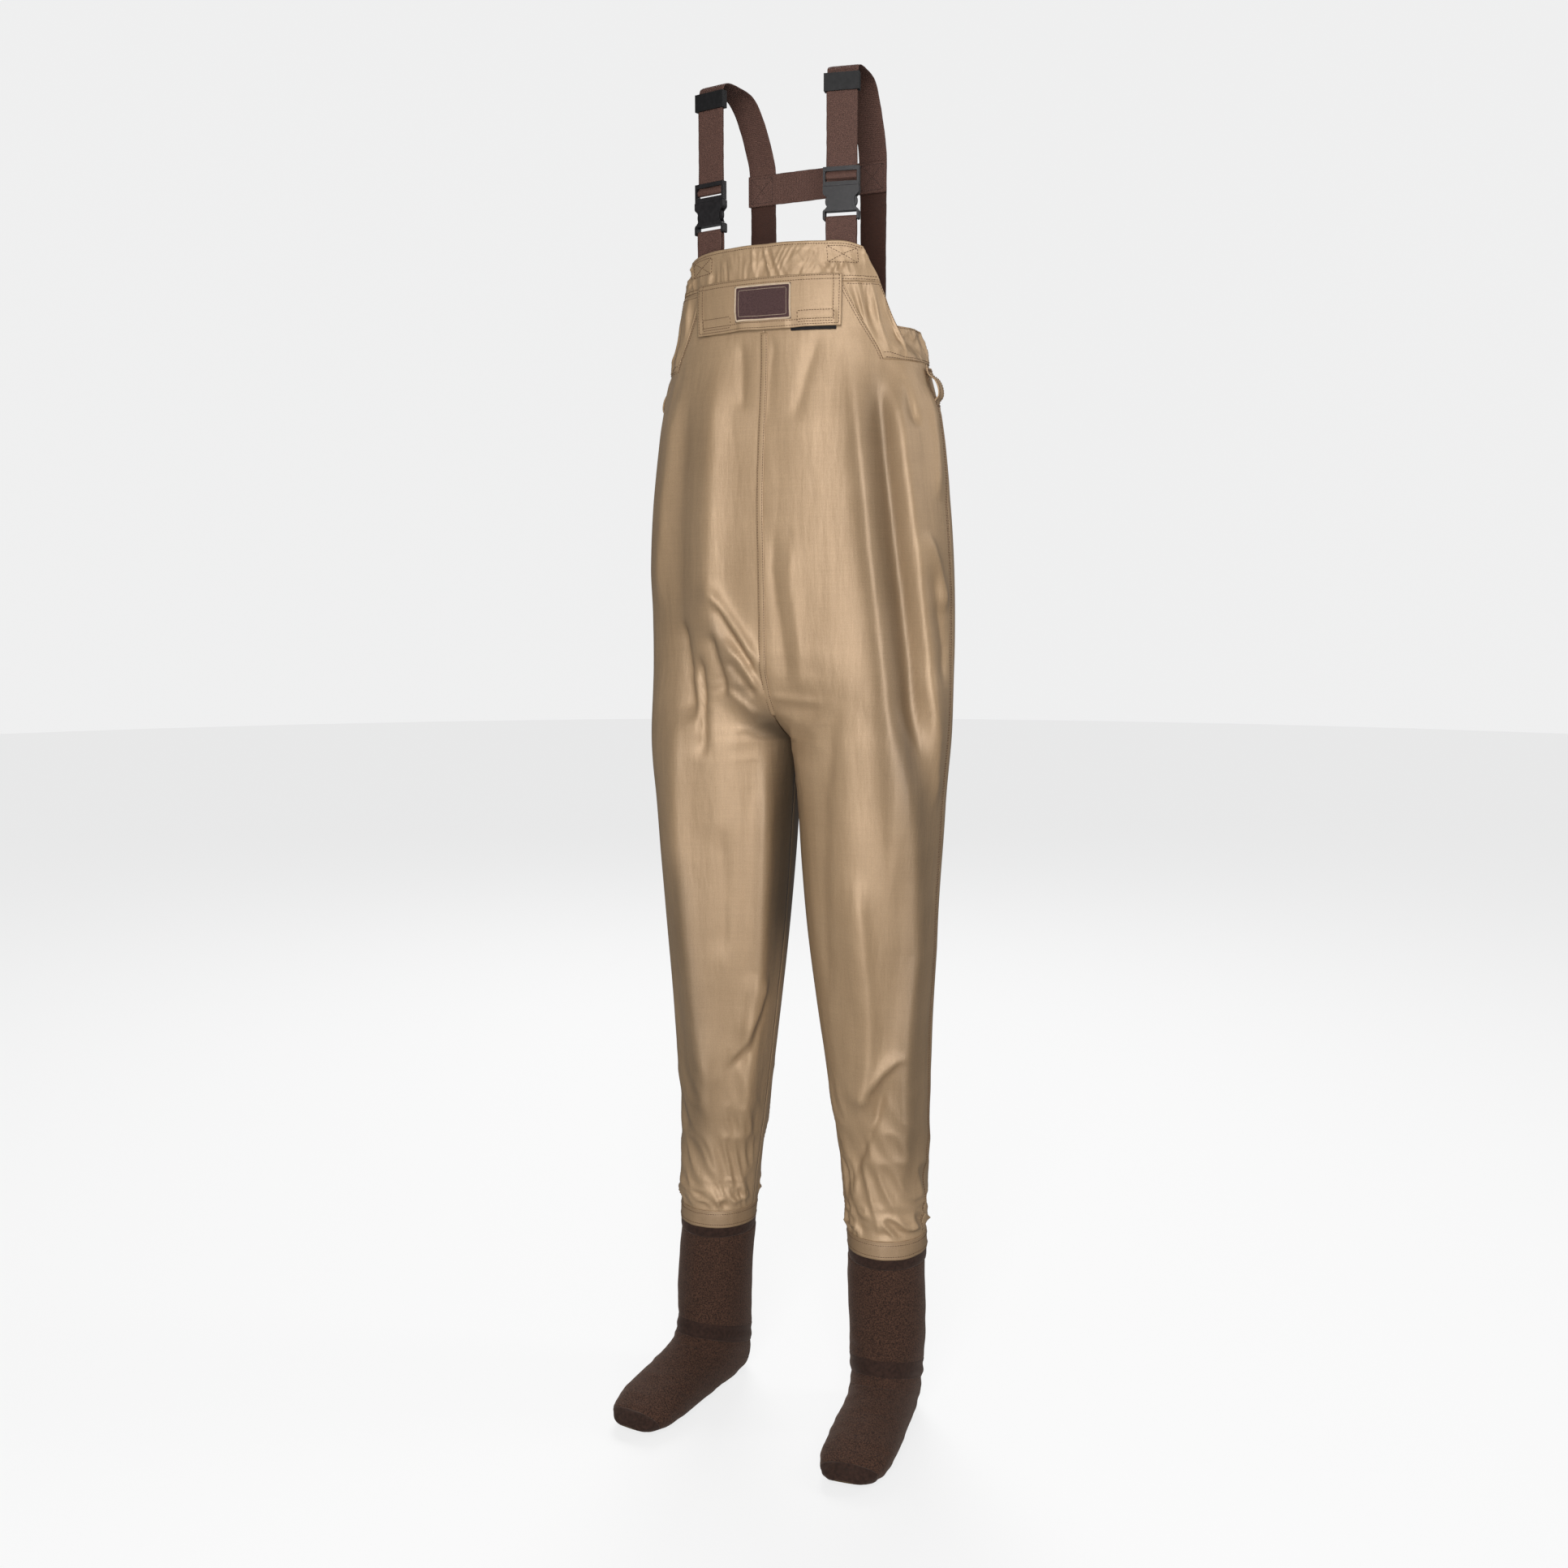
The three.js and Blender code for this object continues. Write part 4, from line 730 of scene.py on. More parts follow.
def shaded(point, outward, sign, t, h):
    """Painted shade: how much darker the cloth's colour is painted in its deep places, the inside of the legs and the
    tall hollows.
    """
    # painted shade between the legs, from about 480 to 895 mm up, much darker on the wearer's right leg
    between = smooth(0.2, 0.02, t) * smooth(480, 640, h) * smooth(895, 850, h)
    front = smooth(-0.05, 0.35, outward @ TOWARD)
    across = point @ RIGHTWARD
    dark = (0.75 if sign < 0 else 0.1) * between
    # painted shade along the strokes of the table, on the side facing the camera
    for leg, strength, width, skew, line in PAINTED_SHADE_STROKES:
        if leg == sign:
            dark = dark + front * stroke(across, h, line, strength, width, skew)
    return np.clip(dark, 0, 0.75)


def panel_columns(count):
    """Shares from 0 to 1, closer together at both seams."""
    s = np.linspace(0, 1, count + 1)
    return s - 0.09 * np.sin(2 * math.pi * s)


def panel_rows(low, high, pitch):
    return np.linspace(low, high, max(int(round((high - low) / pitch)), 1) + 1)


FINE = 1.0
CLOTH, BAND_CLOTH, FELL_CLOTH, FLAP_CLOTH, BAG_CLOTH, CUFF_CLOTH = 1.0, 1.1, 0.8, 1.5, 0.6, 1.6
PATCH_THICK, TAB_THICK, TOP_TAPE, KNIT, BINDING = 0.9, 1.0, 2.6, 3, 3.2


def panel(sign, face):
    rows = np.concatenate([panel_rows(HEM_TOP, 300, 2.4 * FINE),
                           panel_rows(300, CASING_SEAM, 3.4 * FINE)[1:]])
    bib = panel_rows(CASING_SEAM, BAND_SEAM, 3 * FINE)[1:] if face < 0 else np.array([])
    heights = np.concatenate([rows, bib])
    count = int(84 / FINE)
    s = panel_columns(count)
    split = int(count * 0.6)
    t = np.tile(s, (len(heights), 1))
    keep = np.ones((len(heights) - 1, count), bool)
    if face < 0:
        seam = along(GUSSET_SEAM, np.maximum(heights, CASING_SEAM), 1)[:, None]
        inner = seam * (s[: split + 1] / s[split])
        outer = mix(seam, 1, (s[split + 1:] - s[split]) / (1 - s[split]))
        t = np.concatenate([inner, outer], 1)
        keep[len(rows) - 1:, split:] = False
    h = np.tile(heights[:, None], (1, t.shape[1]))
    if face < 0:
        reach = np.abs(torso_point(t, h, face)[..., 0])
        slot = 5 * smooth(FLAP_HALF - 6, FLAP_HALF - 14, reach)
        lowered = CASING_SEAM + (h - CASING_SEAM) * (1 - slot / (BAND_SEAM - CASING_SEAM))
        h = np.where(h > CASING_SEAM, lowered, h)
    point, outward = cloth(sign, face, t, h)
    return point, outward, keep, shaded(point, outward, sign, t, h)


for side, sign in SIDES:
    for name, face, flat, area in (("front", -1, (0.270, 1.125), 0.262), ("back", 1, (0.290, 1.040), 0.262)):
        # shade is the painted shade laid into the panels' colour
        point, outward, keep, shade = panel(sign, face)
        piece = cloth_piece(f"{side}_{name}_cloth", point, CLOTH, NYLON,
                            keep=keep, outward=outward, shade=shade)
        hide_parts(f"{side}_{name}_panel")

# ------------------------------------------------------- bands along the top edge

BAND_LOW = BAND_SEAM - 1.6
BAND_STRIP = 3.0  # height of the turned edge along the top


def torso_frame(place, h):
    """place runs round the body: 0 at the front centre, 1 at the side, 2 at the back centre."""
    turn = np.sign(place) + (place == 0)
    share = np.abs(place)
    front = share <= 1
    t = np.where(front, share, 2 - share)
    point = np.where(front[..., None], torso_point(t, h, -1), torso_point(t, h, 1))
    outward = np.where(front[..., None], body_outward(point, t, h, -1), body_outward(point, t, h, 1))
    mirror = np.stack([turn, 1 + 0 * turn, 1 + 0 * turn], -1)
    return point * mirror, outward * mirror


def chest_band(across, level, off=0.0):
    across, level = np.broadcast_arrays(np.asarray(across, float), np.asarray(level, float))
    h = mix(BAND_LOW, BIB_TOP - 6 * np.abs(across) ** 6, level)
    point, outward = torso_frame(along(BIB_EDGE, h, 1) * across, h)
    x = point[..., 0]
    slant = (h - 1378) * (0.35 * np.sin(x / 31) + 0.25)
    gather = creased((x + slant) / 8.5, h / 60, 21) + 0.5 * creased((x - slant) / 5.5, h / 40, 22)
    swell = np.sin(math.pi * np.clip((h - 1357) / 41, 0, 1)) ** 0.7
    fixing = 1 - 0.8 * (smooth(58, 64, np.abs(x)) * smooth(106, 100, np.abs(x)) * smooth(1372, 1378, h))
    rise = 2.1 * gather * swell * fixing + 1.4 * noise(x / 34, h / 30, 23) * swell + 0.7
    turned = 0.5 * smooth(BIB_TOP - 9.5, BIB_TOP - 8, h + 6 * np.abs(across) ** 6)
    waver = 0.9 * noise(x / 22, 0.5, 24) * level**3
    point = point + outward * (rise + turned + off)[..., None]
    point[..., 2] += waver
    return point, outward


def gusset(sign, place, level, off=0.0):
    """place runs from the bib seam (0) to the back band (1), level up from the casing seam."""
    place, level = np.broadcast_arrays(np.asarray(place, float), np.asarray(level, float))
    guess = mix(CASING_SEAM, BAND_SEAM, level)
    start = along(GUSSET_SEAM, guess, 1) - 0.007
    at = mix(start, 2 - GUSSET_BACK + 0.006, place)
    slope = np.clip((at - BIB_EDGE[1, 1]) / (BIB_EDGE[0, 1] - BIB_EDGE[1, 1]), 0, 1)
    h = mix(CASING_SEAM - 1.5, mix(BAND_SEAM - 0.4, SIDE_TOP, slope), level)
    point, outward = torso_frame(at * sign, h)
    run = at * 150
    fan = (level - 0.2) * 9
    gather = creased((run + fan) / 12.5, level * 1.3, 31 + sign) + 0.45 * creased((run - fan) / 7, level * 2, 33)
    soft = np.maximum(np.sin(math.pi * np.clip(level * 0.93, 0, 1)), 0) ** 0.8
    edge = smooth(0, 0.05, place) * smooth(0, 0.04, 1 - place)
    rearward = smooth(0.2, 0.5, place)
    lap = 0.35 * (1 - rearward) + 0.35 * rearward * (1 - smooth(0.1, 0.3, level))
    lap = lap + 0.5 * smooth(0.965, 1, place)
    rise = 3.6 * gather * soft * edge + 1.6 * noise(run / 26, level * 2, 35) * edge * soft + lap
    point = point + outward * (rise + off)[..., None]
    point[..., 2] += 0.8 * noise(run / 14, 0.5, 36) * level**4 * edge
    return point, outward


def back_band(across, level, off=0.0):
    across, level = np.broadcast_arrays(np.asarray(across, float), np.asarray(level, float))
    h = mix(CASING_SEAM - 1.4, SIDE_TOP, level)
    point, outward = torso_frame(2 - GUSSET_BACK * across, h)
    run = across * 76
    gather = creased(run / 9 + level * 0.6, level * 1.4, 41)
    soft = np.sin(math.pi * np.clip(level, 0, 1)) ** 0.8
    under_elastic = 1 - 0.8 * smooth(50, 56, np.abs(run)) * smooth(96, 90, np.abs(run))
    rise = 1.2 * gather * soft * under_elastic * smooth(1, 0.93, np.abs(across)) + 0.5 * smooth(0.3, 0.05, level)
    point = point + outward * (rise + off)[..., None]
    return point, outward


def grid_of(surface, us, vs):
    u, v = np.meshgrid(us, vs)
    return surface(u, v)


point, outward = grid_of(chest_band, np.linspace(-1, 1, int(190 / FINE)), np.linspace(0, 1, 30))
band = cloth_piece("chest_band_cloth", point, BAND_CLOTH, NYLON, outward=outward)
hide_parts("chest_band")

for side, sign in SIDES:
    point, outward = grid_of(lambda u, v: gusset(sign, u, v), np.linspace(0, 1, int(120 / FINE)),
                             np.linspace(0, 1, 28))
    piece = cloth_piece(f"{side}_gusset_cloth", point, BAND_CLOTH, NYLON, outward=outward)
    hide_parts(f"{side}_side_gusset")


def back_round(u, v):
    """The back band from the wearer's right (-1) to left (1), across the centre of the back."""
    point, outward = back_band(np.abs(u), v)
    flip = np.stack([np.where(u < 0, -1, 1), 1 + 0 * u, 1 + 0 * u], -1)
    return point * flip, outward * flip


point, outward = grid_of(back_round, np.linspace(-1, 1, 110), np.linspace(0, 1, 20))
piece = cloth_piece("back_band_cloth", point, BAND_CLOTH, NYLON, outward=outward)
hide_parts("back_band")

# ------------------------------------------------------------ felled centre seams

FELL_HALF, FELL_SEWING = 4.5, 2.9


def fell_line(face, heights, across=0.0, off=0.0):
    spots = [cloth(s, face, np.zeros(len(heights)), heights) for s in (1, -1)]
    y = face * np.maximum(face * spots[0][0][:, 1], face * spots[1][0][:, 1])
    slope = np.gradient(y, heights)
    outward = unit(np.stack([0 * y, face + 0 * y, -face * slope], -1))
    point = np.stack([0 * y + across, y, heights], -1)
    return point + outward * off, outward


for name, face, low_h, high_h in (("front", -1, 868, 1303), ("back", 1, 880, 1267)):
    heights = panel_rows(low_h, high_h, 3.0)
    columns = np.linspace(-FELL_HALF, FELL_HALF, 11)
    dimple = 0.3 * np.exp(-((np.abs(columns) - FELL_SEWING) / 0.7) ** 2)
    profile = 1.15 - 0.55 * (np.abs(columns / FELL_HALF) > 0.95) - dimple
    pucker = 0.12 * np.sin(heights / 3.0 * 2 * math.pi * 0.5)
    grid = np.stack([fell_line(face, heights, c, off)[0] + np.array([0, face, 0]) * pucker[:, None]
                     for c, off in zip(columns, profile)], 1)
    piece = cloth_piece(f"{name}_fell_cloth", grid, FELL_CLOTH, NYLON, outward=np.array([0, face, 0]))
    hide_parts(f"{name}_seam_fell")
    sewn = panel_rows(low_h + 2, high_h - 2, 6)
    rows = [np.concatenate(fell_line(face, sewn, c, 0.95), -1) for c in (-FELL_SEWING, FELL_SEWING)]
    stitches(f"{name}_fell_stitches", rows, NYLON_THREAD)

# ----------------------------------------------------------------- seam stitching


def on(surface, us, vs, off):
    """A stitch line (n, 6) on a surface given by matching parameters."""
    point, outward = surface(np.asarray(us, float), np.asarray(vs, float), off)
    return np.concatenate([point, outward], -1)


LIFT = 0.12
for side, sign in SIDES:
    lines = []
    heights = panel_rows(HEM_TOP + 6, 1262, 5)
    for inset in (0.012, 0.034):
        lines.append(on(lambda t, h, off: cloth(sign, -1, t, h, off), 1 - inset + 0 * heights, heights, LIFT))
    stitches(f"{side}_outseam_stitches", lines, NYLON_THREAD)
    lines = []
    levels = np.linspace(0, 0.985, 60)
    seam_h = mix(CASING_SEAM, BAND_SEAM, levels)
    for shift in (0.012, 0.028):
        place = along(GUSSET_SEAM, seam_h, 1) - shift
        lines.append(on(lambda t, h, off: cloth(sign, -1, t, h, off), place, seam_h - 2, LIFT))
    span = np.linspace(0.02, 0.99, 80)
    for level in (0.025, 0.09):
        lines.append(on(lambda u, v, off: gusset(sign, u, v, off), span, level + 0 * span, LIFT))
    lines.append(on(lambda u, v, off: gusset(sign, u, v, off), span, 0.955 + 0 * span, LIFT))
    stitches(f"{side}_gusset_stitches", lines, NYLON_THREAD)

span = np.linspace(-0.985, 0.985, 160)
lines = [on(chest_band, span, level + 0 * span, LIFT) for level in (0.05, 0.13, 0.925)]
BOX_LOW, BOX_HIGH, BOX_NEAR, BOX_FAR = 1376.0, 1394.0, 66.0, 99.0


def band_at(x, h, off):
    """The chest band over a given x and height."""
    level = (h - BAND_LOW) / (BIB_TOP - BAND_LOW)
    edge = torso_frame(along(BIB_EDGE, h, 1), h)[0][..., 0]
    return chest_band(np.sign(x) * (np.abs(x) / edge) ** 1.09, level, off)


def box_x(left, right, low_edge, high_edge):
    """A stitched rectangle with a cross in it, as lists of (x, h) lines."""
    a, b, c, d = (left, low_edge), (right, low_edge), (right, high_edge), (left, high_edge)
    return [(a, b), (b, c), (c, d), (d, a), (a, c), (b, d)]


def drawn(surface, segments, off, steps=12):
    lines = []
    for (x0, h0), (x1, h1) in segments:
        s = np.linspace(0.02, 0.98, steps)
        lines.append(on(surface, mix(x0, x1, s), mix(h0, h1, s), off))
    return lines


for sign in (1, -1):
    near, far = sorted((sign * BOX_NEAR, sign * BOX_FAR))
    lines += drawn(band_at, box_x(near, far, BOX_LOW, BOX_HIGH), LIFT)
stitches("chest_band_stitches", lines, NYLON_THREAD)

span = np.linspace(-0.97, 0.97, 90)
lines = []
for level in (0.1, 0.9):
    point, outward = back_round(span, level + 0 * span)
    lines.append(np.concatenate([point + outward * LIFT, outward], -1))
stitches("back_band_stitches", lines, NYLON_THREAD)

# ------------------------------------------------------- chest pocket and its flap


def overlay_point(x, h, face, off):
    half, depth = along(TORSO, h, 1), along(TORSO, h, 2 if face < 0 else 3)
    u = np.abs(x) / half
    y = depth * (1 - u**POWER) ** (1 / POWER)
    steep = np.sign(x) * (depth / half) * np.maximum(u, 1e-6) ** (POWER - 1) * (y / depth) ** (1 - POWER)
    outward = unit(np.stack([steep, face + 0 * steep, 0 * steep], -1))
    return np.stack([x, face * y, h + 0 * x], -1) + outward * np.asarray(off)[..., None], outward


def flap_face(x, h, off=0.0):
    x, h = np.broadcast_arrays(np.asarray(x, float), np.asarray(h, float))
    down = (FLAP_TOP - h) / (FLAP_TOP - FLAP_BOTTOM)
    wave = 1.5 * noise(x / 34, down * 1.2, 51) + 0.8 * noise(x / 15, down * 2, 52)
    belly = 1.3 * np.sin(math.pi * np.clip(down, 0, 1))
    rim = np.minimum(np.minimum(FLAP_HALF - np.abs(x), h - FLAP_BOTTOM), 30)
    hem = 0.45 * smooth(9.5, 8.5, rim)
    tabs = smooth(26, 34, np.abs(x)) * smooth(86, 80, np.abs(x)) * smooth(0.62, 0.8, down)
    press = 0.7 * tabs
    lift = (wave * down**1.5 + belly) * (1 - 0.6 * tabs) + hem - press
    lift = np.maximum(lift, -0.9)
    point, outward = overlay_point(x, h, -1, 4.9 + lift + off)
    sag = 1.3 * noise(x / 26, 0.5, 53) * down
    point[..., 2] += sag
    return point, outward


flap_surface = grid_of(flap_face, np.linspace(-FLAP_HALF, FLAP_HALF, 150),
                       np.linspace(FLAP_BOTTOM, FLAP_TOP, 50))
flap = cloth_piece("pocket_flap_cloth", flap_surface[0], FLAP_CLOTH, NYLON,
                   outward=flap_surface[1], body=None)
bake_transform(flap)
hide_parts("pocket_flap")

lines = []
for gap in (2.6, 8.2):
    x = np.linspace(-FLAP_HALF + gap, FLAP_HALF - gap, 60)
    lines.append(on(flap_face, x, FLAP_BOTTOM + gap + 0 * x, LIFT))
    h = np.linspace(FLAP_BOTTOM + gap, FLAP_TOP - 1, 20)
    for end in (-1, 1):
        lines.append(on(flap_face, end * (FLAP_HALF - gap) + 0 * h, h, LIFT))
for end in (-1, 1):
    a, b = sorted((end * 41.0, end * 80.5))
    lines += drawn(flap_face, box_x(a, b, 1311.5, 1323.5)[:4], LIFT)
x = np.linspace(-FLAP_HALF + 2, FLAP_HALF - 2, 60)
for gap in (1.6, 6.0):
    lines.append(on(flap_face, x, FLAP_TOP - gap + 0 * x, LIFT))
flap_thread = stitches("pocket_flap_stitches", lines, NYLON_THREAD, body=None)
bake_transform(flap_thread)

PATCH_HALF, PATCH_LOW, PATCH_HIGH = 34.0, 1316.0, 1355.0


def patch_face(x, h, off=0.0):
    point, outward = flap_face(x, h, 1.0 + off)
    ripple = 0.45 * noise(np.asarray(x) / 12, np.asarray(h) / 16, 54)
    return point + outward * np.asarray(ripple)[..., None], outward


point, outward = grid_of(patch_face, np.linspace(-PATCH_HALF, PATCH_HALF, 50),
                         np.linspace(PATCH_LOW, PATCH_HIGH, 30))
patch = cloth_piece("flap_patch_cloth", point, PATCH_THICK, LABEL, outward=outward, body="flap")
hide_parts("flap_patch")


def outline_of(left, right, low_edge, high_edge, radius, steps=5):
    """A rounded rectangle as a closed list of (x, h)."""
    spots = []
    for cx, ch, start in ((right - radius, high_edge - radius, 0), (left + radius, high_edge - radius, 90),
                          (left + radius, low_edge + radius, 180), (right - radius, low_edge + radius, 270)):
        for k in range(steps + 1):
            a = math.radians(start + 90 * k / steps)
            spots.append((cx + radius * math.cos(a), ch + radius * math.sin(a)))
    spots.append(spots[0])
    fine = []
    for (x0, h0), (x1, h1) in zip(spots[:-1], spots[1:]):
        count = max(int(math.hypot(x1 - x0, h1 - h0) / 2), 1)
        fine += [(mix(x0, x1, k / count), mix(h0, h1, k / count)) for k in range(count)]
    fine.append(fine[0])
    return np.array(fine)


ring = outline_of(-PATCH_HALF + 0.9, PATCH_HALF - 0.9, PATCH_LOW + 0.9, PATCH_HIGH - 0.9, 2.0)
border = on(patch_face, ring[:, 0], ring[:, 1], 0.1)


def satin_edge(name, line, width, pitch, look, body):
    """Overlocked threads laid side by side along a line."""
    point, way = resample(line, pitch)
    up = unit(point[:, 3:])
    across = unit(np.cross(way, up))
    lines = [np.stack([np.concatenate([p - a * width / 2, u]), np.concatenate([p + a * width / 2, u])])
             for p, a, u in zip(point[:, :3], across, up)]
    return stitches(name, lines, look, body, pitch=width * 2, length=width, radius=pitch * 0.62)


satin_edge("flap_patch_border", border, 2.4, 0.62, LABEL_BORDER, "flap")
inner_ring = outline_of(-PATCH_HALF + 5, PATCH_HALF - 5, PATCH_LOW + 5, PATCH_HIGH - 5, 2.0)
stitches("flap_patch_frame", [on(patch_face, inner_ring[:, 0], inner_ring[:, 1], 0.05)], LABEL_BORDER, "flap",
         pitch=1.5, length=1.4, radius=0.24)

TAB_HALF, TAB_CENTRE, TAB_LOW, TAB_HIGH = 25.0, 58.0, 1303.0, 1319.0
for side, sign in SIDES:
    for kind, off, body in (("hook", 2.8, "flap"), ("loop", 1.4, "garment")):
        xs = np.linspace(sign * TAB_CENTRE - TAB_HALF, sign * TAB_CENTRE + TAB_HALF, 40)
        lift = 0 if sign > 0 else 4.0
        point, outward = grid_of(lambda x, h: overlay_point(x, h, -1, off + 0 * x), xs,
                                 np.linspace(TAB_LOW + lift, TAB_HIGH + lift, 14))
        tab = cloth_piece(f"{side}_{kind}_tape", point, TAB_THICK, HOOK_TAPE, outward=outward, body=body)
        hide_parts(f"{side}_{kind}_tab")

BAG_HALF, BAG_DROP, BAG_START, BAG_DEPTH, BAG_EDGE = 84.0, 105.0, 4.6, 9.0, 2.0
BAG_MOUTH = BAND_SEAM - 6
BAG_LOW = BAG_MOUTH - BAG_DROP


def bag_face(across, walk):
    """walk goes down the front layer (0 to 1) and up the back one (1 to 2)."""
    across, walk = np.broadcast_arrays(across, walk)
    layer = smooth(0.94, 1.06, walk)
    depth = BAG_EDGE + (BAG_DEPTH - BAG_EDGE) * (1 - across**4)
    h = BAG_MOUTH - BAG_DROP * np.minimum(1 - np.abs(1 - walk), 0.985) / 0.985
    h = h + 8 * smooth(1.86, 2.0, walk)
    ripple = 0.35 * noise(across * 6, walk * 5, 61)
    off = -BAG_START - depth * layer + ripple * np.sin(math.pi * walk / 2) ** 2
    return overlay_point(across * BAG_HALF, h, -1, off)


point, outward = grid_of(bag_face, np.linspace(-1, 1, 60), np.linspace(0, 2, 91))
bag = cloth_piece("pocket_bag_cloth", point, BAG_CLOTH, NYLON_LINING)
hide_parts("pocket_bag")

# ---------------------------------------------------------------- cuffs and socks


def leg_round(s, h, sign, off=0.0):
    """Round one leg: s is 0 at the inseam, 0.5 at the outseam, 1 at the inseam again."""
    s, h = np.broadcast_arrays(np.asarray(s, float), np.asarray(h, float))
    front = s <= 0.5
    t = np.where(front, 2 * s, 2 - 2 * s)
    point = np.where(front[..., None], leg_point(t, h, -1), leg_point(t, h, 1))
    centre = np.stack([along(LEG, h, 1), along(LEG, h, 5), h], -1)
    outward = unit(point - centre)
    mirror = np.array([sign, 1, 1.0])
    return (point + outward * np.asarray(off)[..., None]) * mirror, outward * mirror


def cuff_face(s, h, sign, off=0.0):
    turn = np.asarray(s) * 2 * math.pi
    front_crease = np.exp(-((np.sin((turn - math.pi / 2) / 2) * 12) ** 2))
    wave = 0.7 * noise(np.asarray(s) * 14 + sign, np.asarray(h) / 12, 71) + 0.9 * front_crease
    seam = 0.6 * np.exp(-(((np.asarray(h) - 232.5) / 1.6) ** 2))
    thick = 0.9 + wave * (0.45 + 0.55 * smooth(HEM_TOP, HEM_BOTTOM, h)) - seam
    point, outward = leg_round(s, h, sign, thick + off)
    lower = 1.2 * noise(np.asarray(s) * 9 + 3 * sign, 0.5, 72) * smooth(HEM_BOTTOM + 12, HEM_BOTTOM, h)
    point[..., 2] += lower
    return point, outward


def sock_point(station, angle, sign, off=0.0):
    """station runs along SOCK and angle goes round from the front or top (0)."""
    station, angle = np.broadcast_arrays(np.asarray(station, float), np.asarray(angle, float))
    front_f, front_h, back_f, back_h, half, shift = (along(SOCK, station, c) for c in range(1, 7))
    foot = np.clip((station - 4) / 2, 0, 1)
    length = np.hypot(front_f - back_f, front_h - back_h) / 2
    stretch = np.maximum(length + off, length * 0.35) / length
    width = np.maximum(half + off, half * 0.35)
    toe = off * np.clip((station - 10) / 3, 0, 1)
    up, sideways = np.cos(angle), np.sin(angle)
    power = 2 / mix(2.0, np.where(up < 0, 2.9, 2.2), foot)
    rise = np.sign(up) * np.abs(up) ** power * stretch
    forward = (front_f + back_f) / 2 + rise * (front_f - back_f) / 2 + toe
    height = (front_h + back_h) / 2 + rise * (front_h - back_h) / 2
    across = shift + np.sign(sideways) * np.abs(sideways) ** power * width
    heading = math.radians(7)
    x = 121 + forward * math.sin(heading) + across * math.cos(heading)
    y = -forward * math.cos(heading) + across * math.sin(heading)
    return np.stack([sign * x, y, np.maximum(height, -2.6)], -1)


def sock_face(station, angle, sign, off=0.0):
    station, angle = np.broadcast_arrays(np.asarray(station, float), np.asarray(angle, float))
    front = np.cos(angle / 2) ** 2
    instep = np.exp(-(((station - 3.6) / 0.9) ** 2)) * front
    ripple = 0.9 * instep * np.sin(station * 7.5 + 0.8 * np.sin(angle * 2))
    heel = 0.5 * np.exp(-((station - 3.2) ** 2)) * (1 - front) * np.sin(station * 9)
    slack = 0.8 * noise(angle * 2.2 + 4 * sign, station * 2.4, 81)
    slack = slack * smooth(0, 0.5, station) * smooth(13, 11, station)
    crease = 0.7 * np.exp(-((np.sin(angle / 2) * 14) ** 2)) * smooth(3, 1, station)
    return sock_point(station, angle, sign, ripple + heel + slack + crease + off)


def sock_piece(name, sign, stations, angles, look, off, thick, nodes, edge_round=0.0, wrap=True):
    station, angle = np.meshgrid(stations, angles, indexing="ij")
    spread = (station - stations[0]) / (stations[-1] - stations[0])
    soft = edge_round * (1 - np.clip(np.minimum(spread, 1 - spread) * 14, 0, 1)) ** 2
    point = sock_face(station, angle, sign, off - soft)
    hub = sock_point(station, angle, sign, -12.0)
    piece = cloth_piece(name, point, thick, look, wrap=wrap, outward=point - hub)
    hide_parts(*nodes)
    return piece


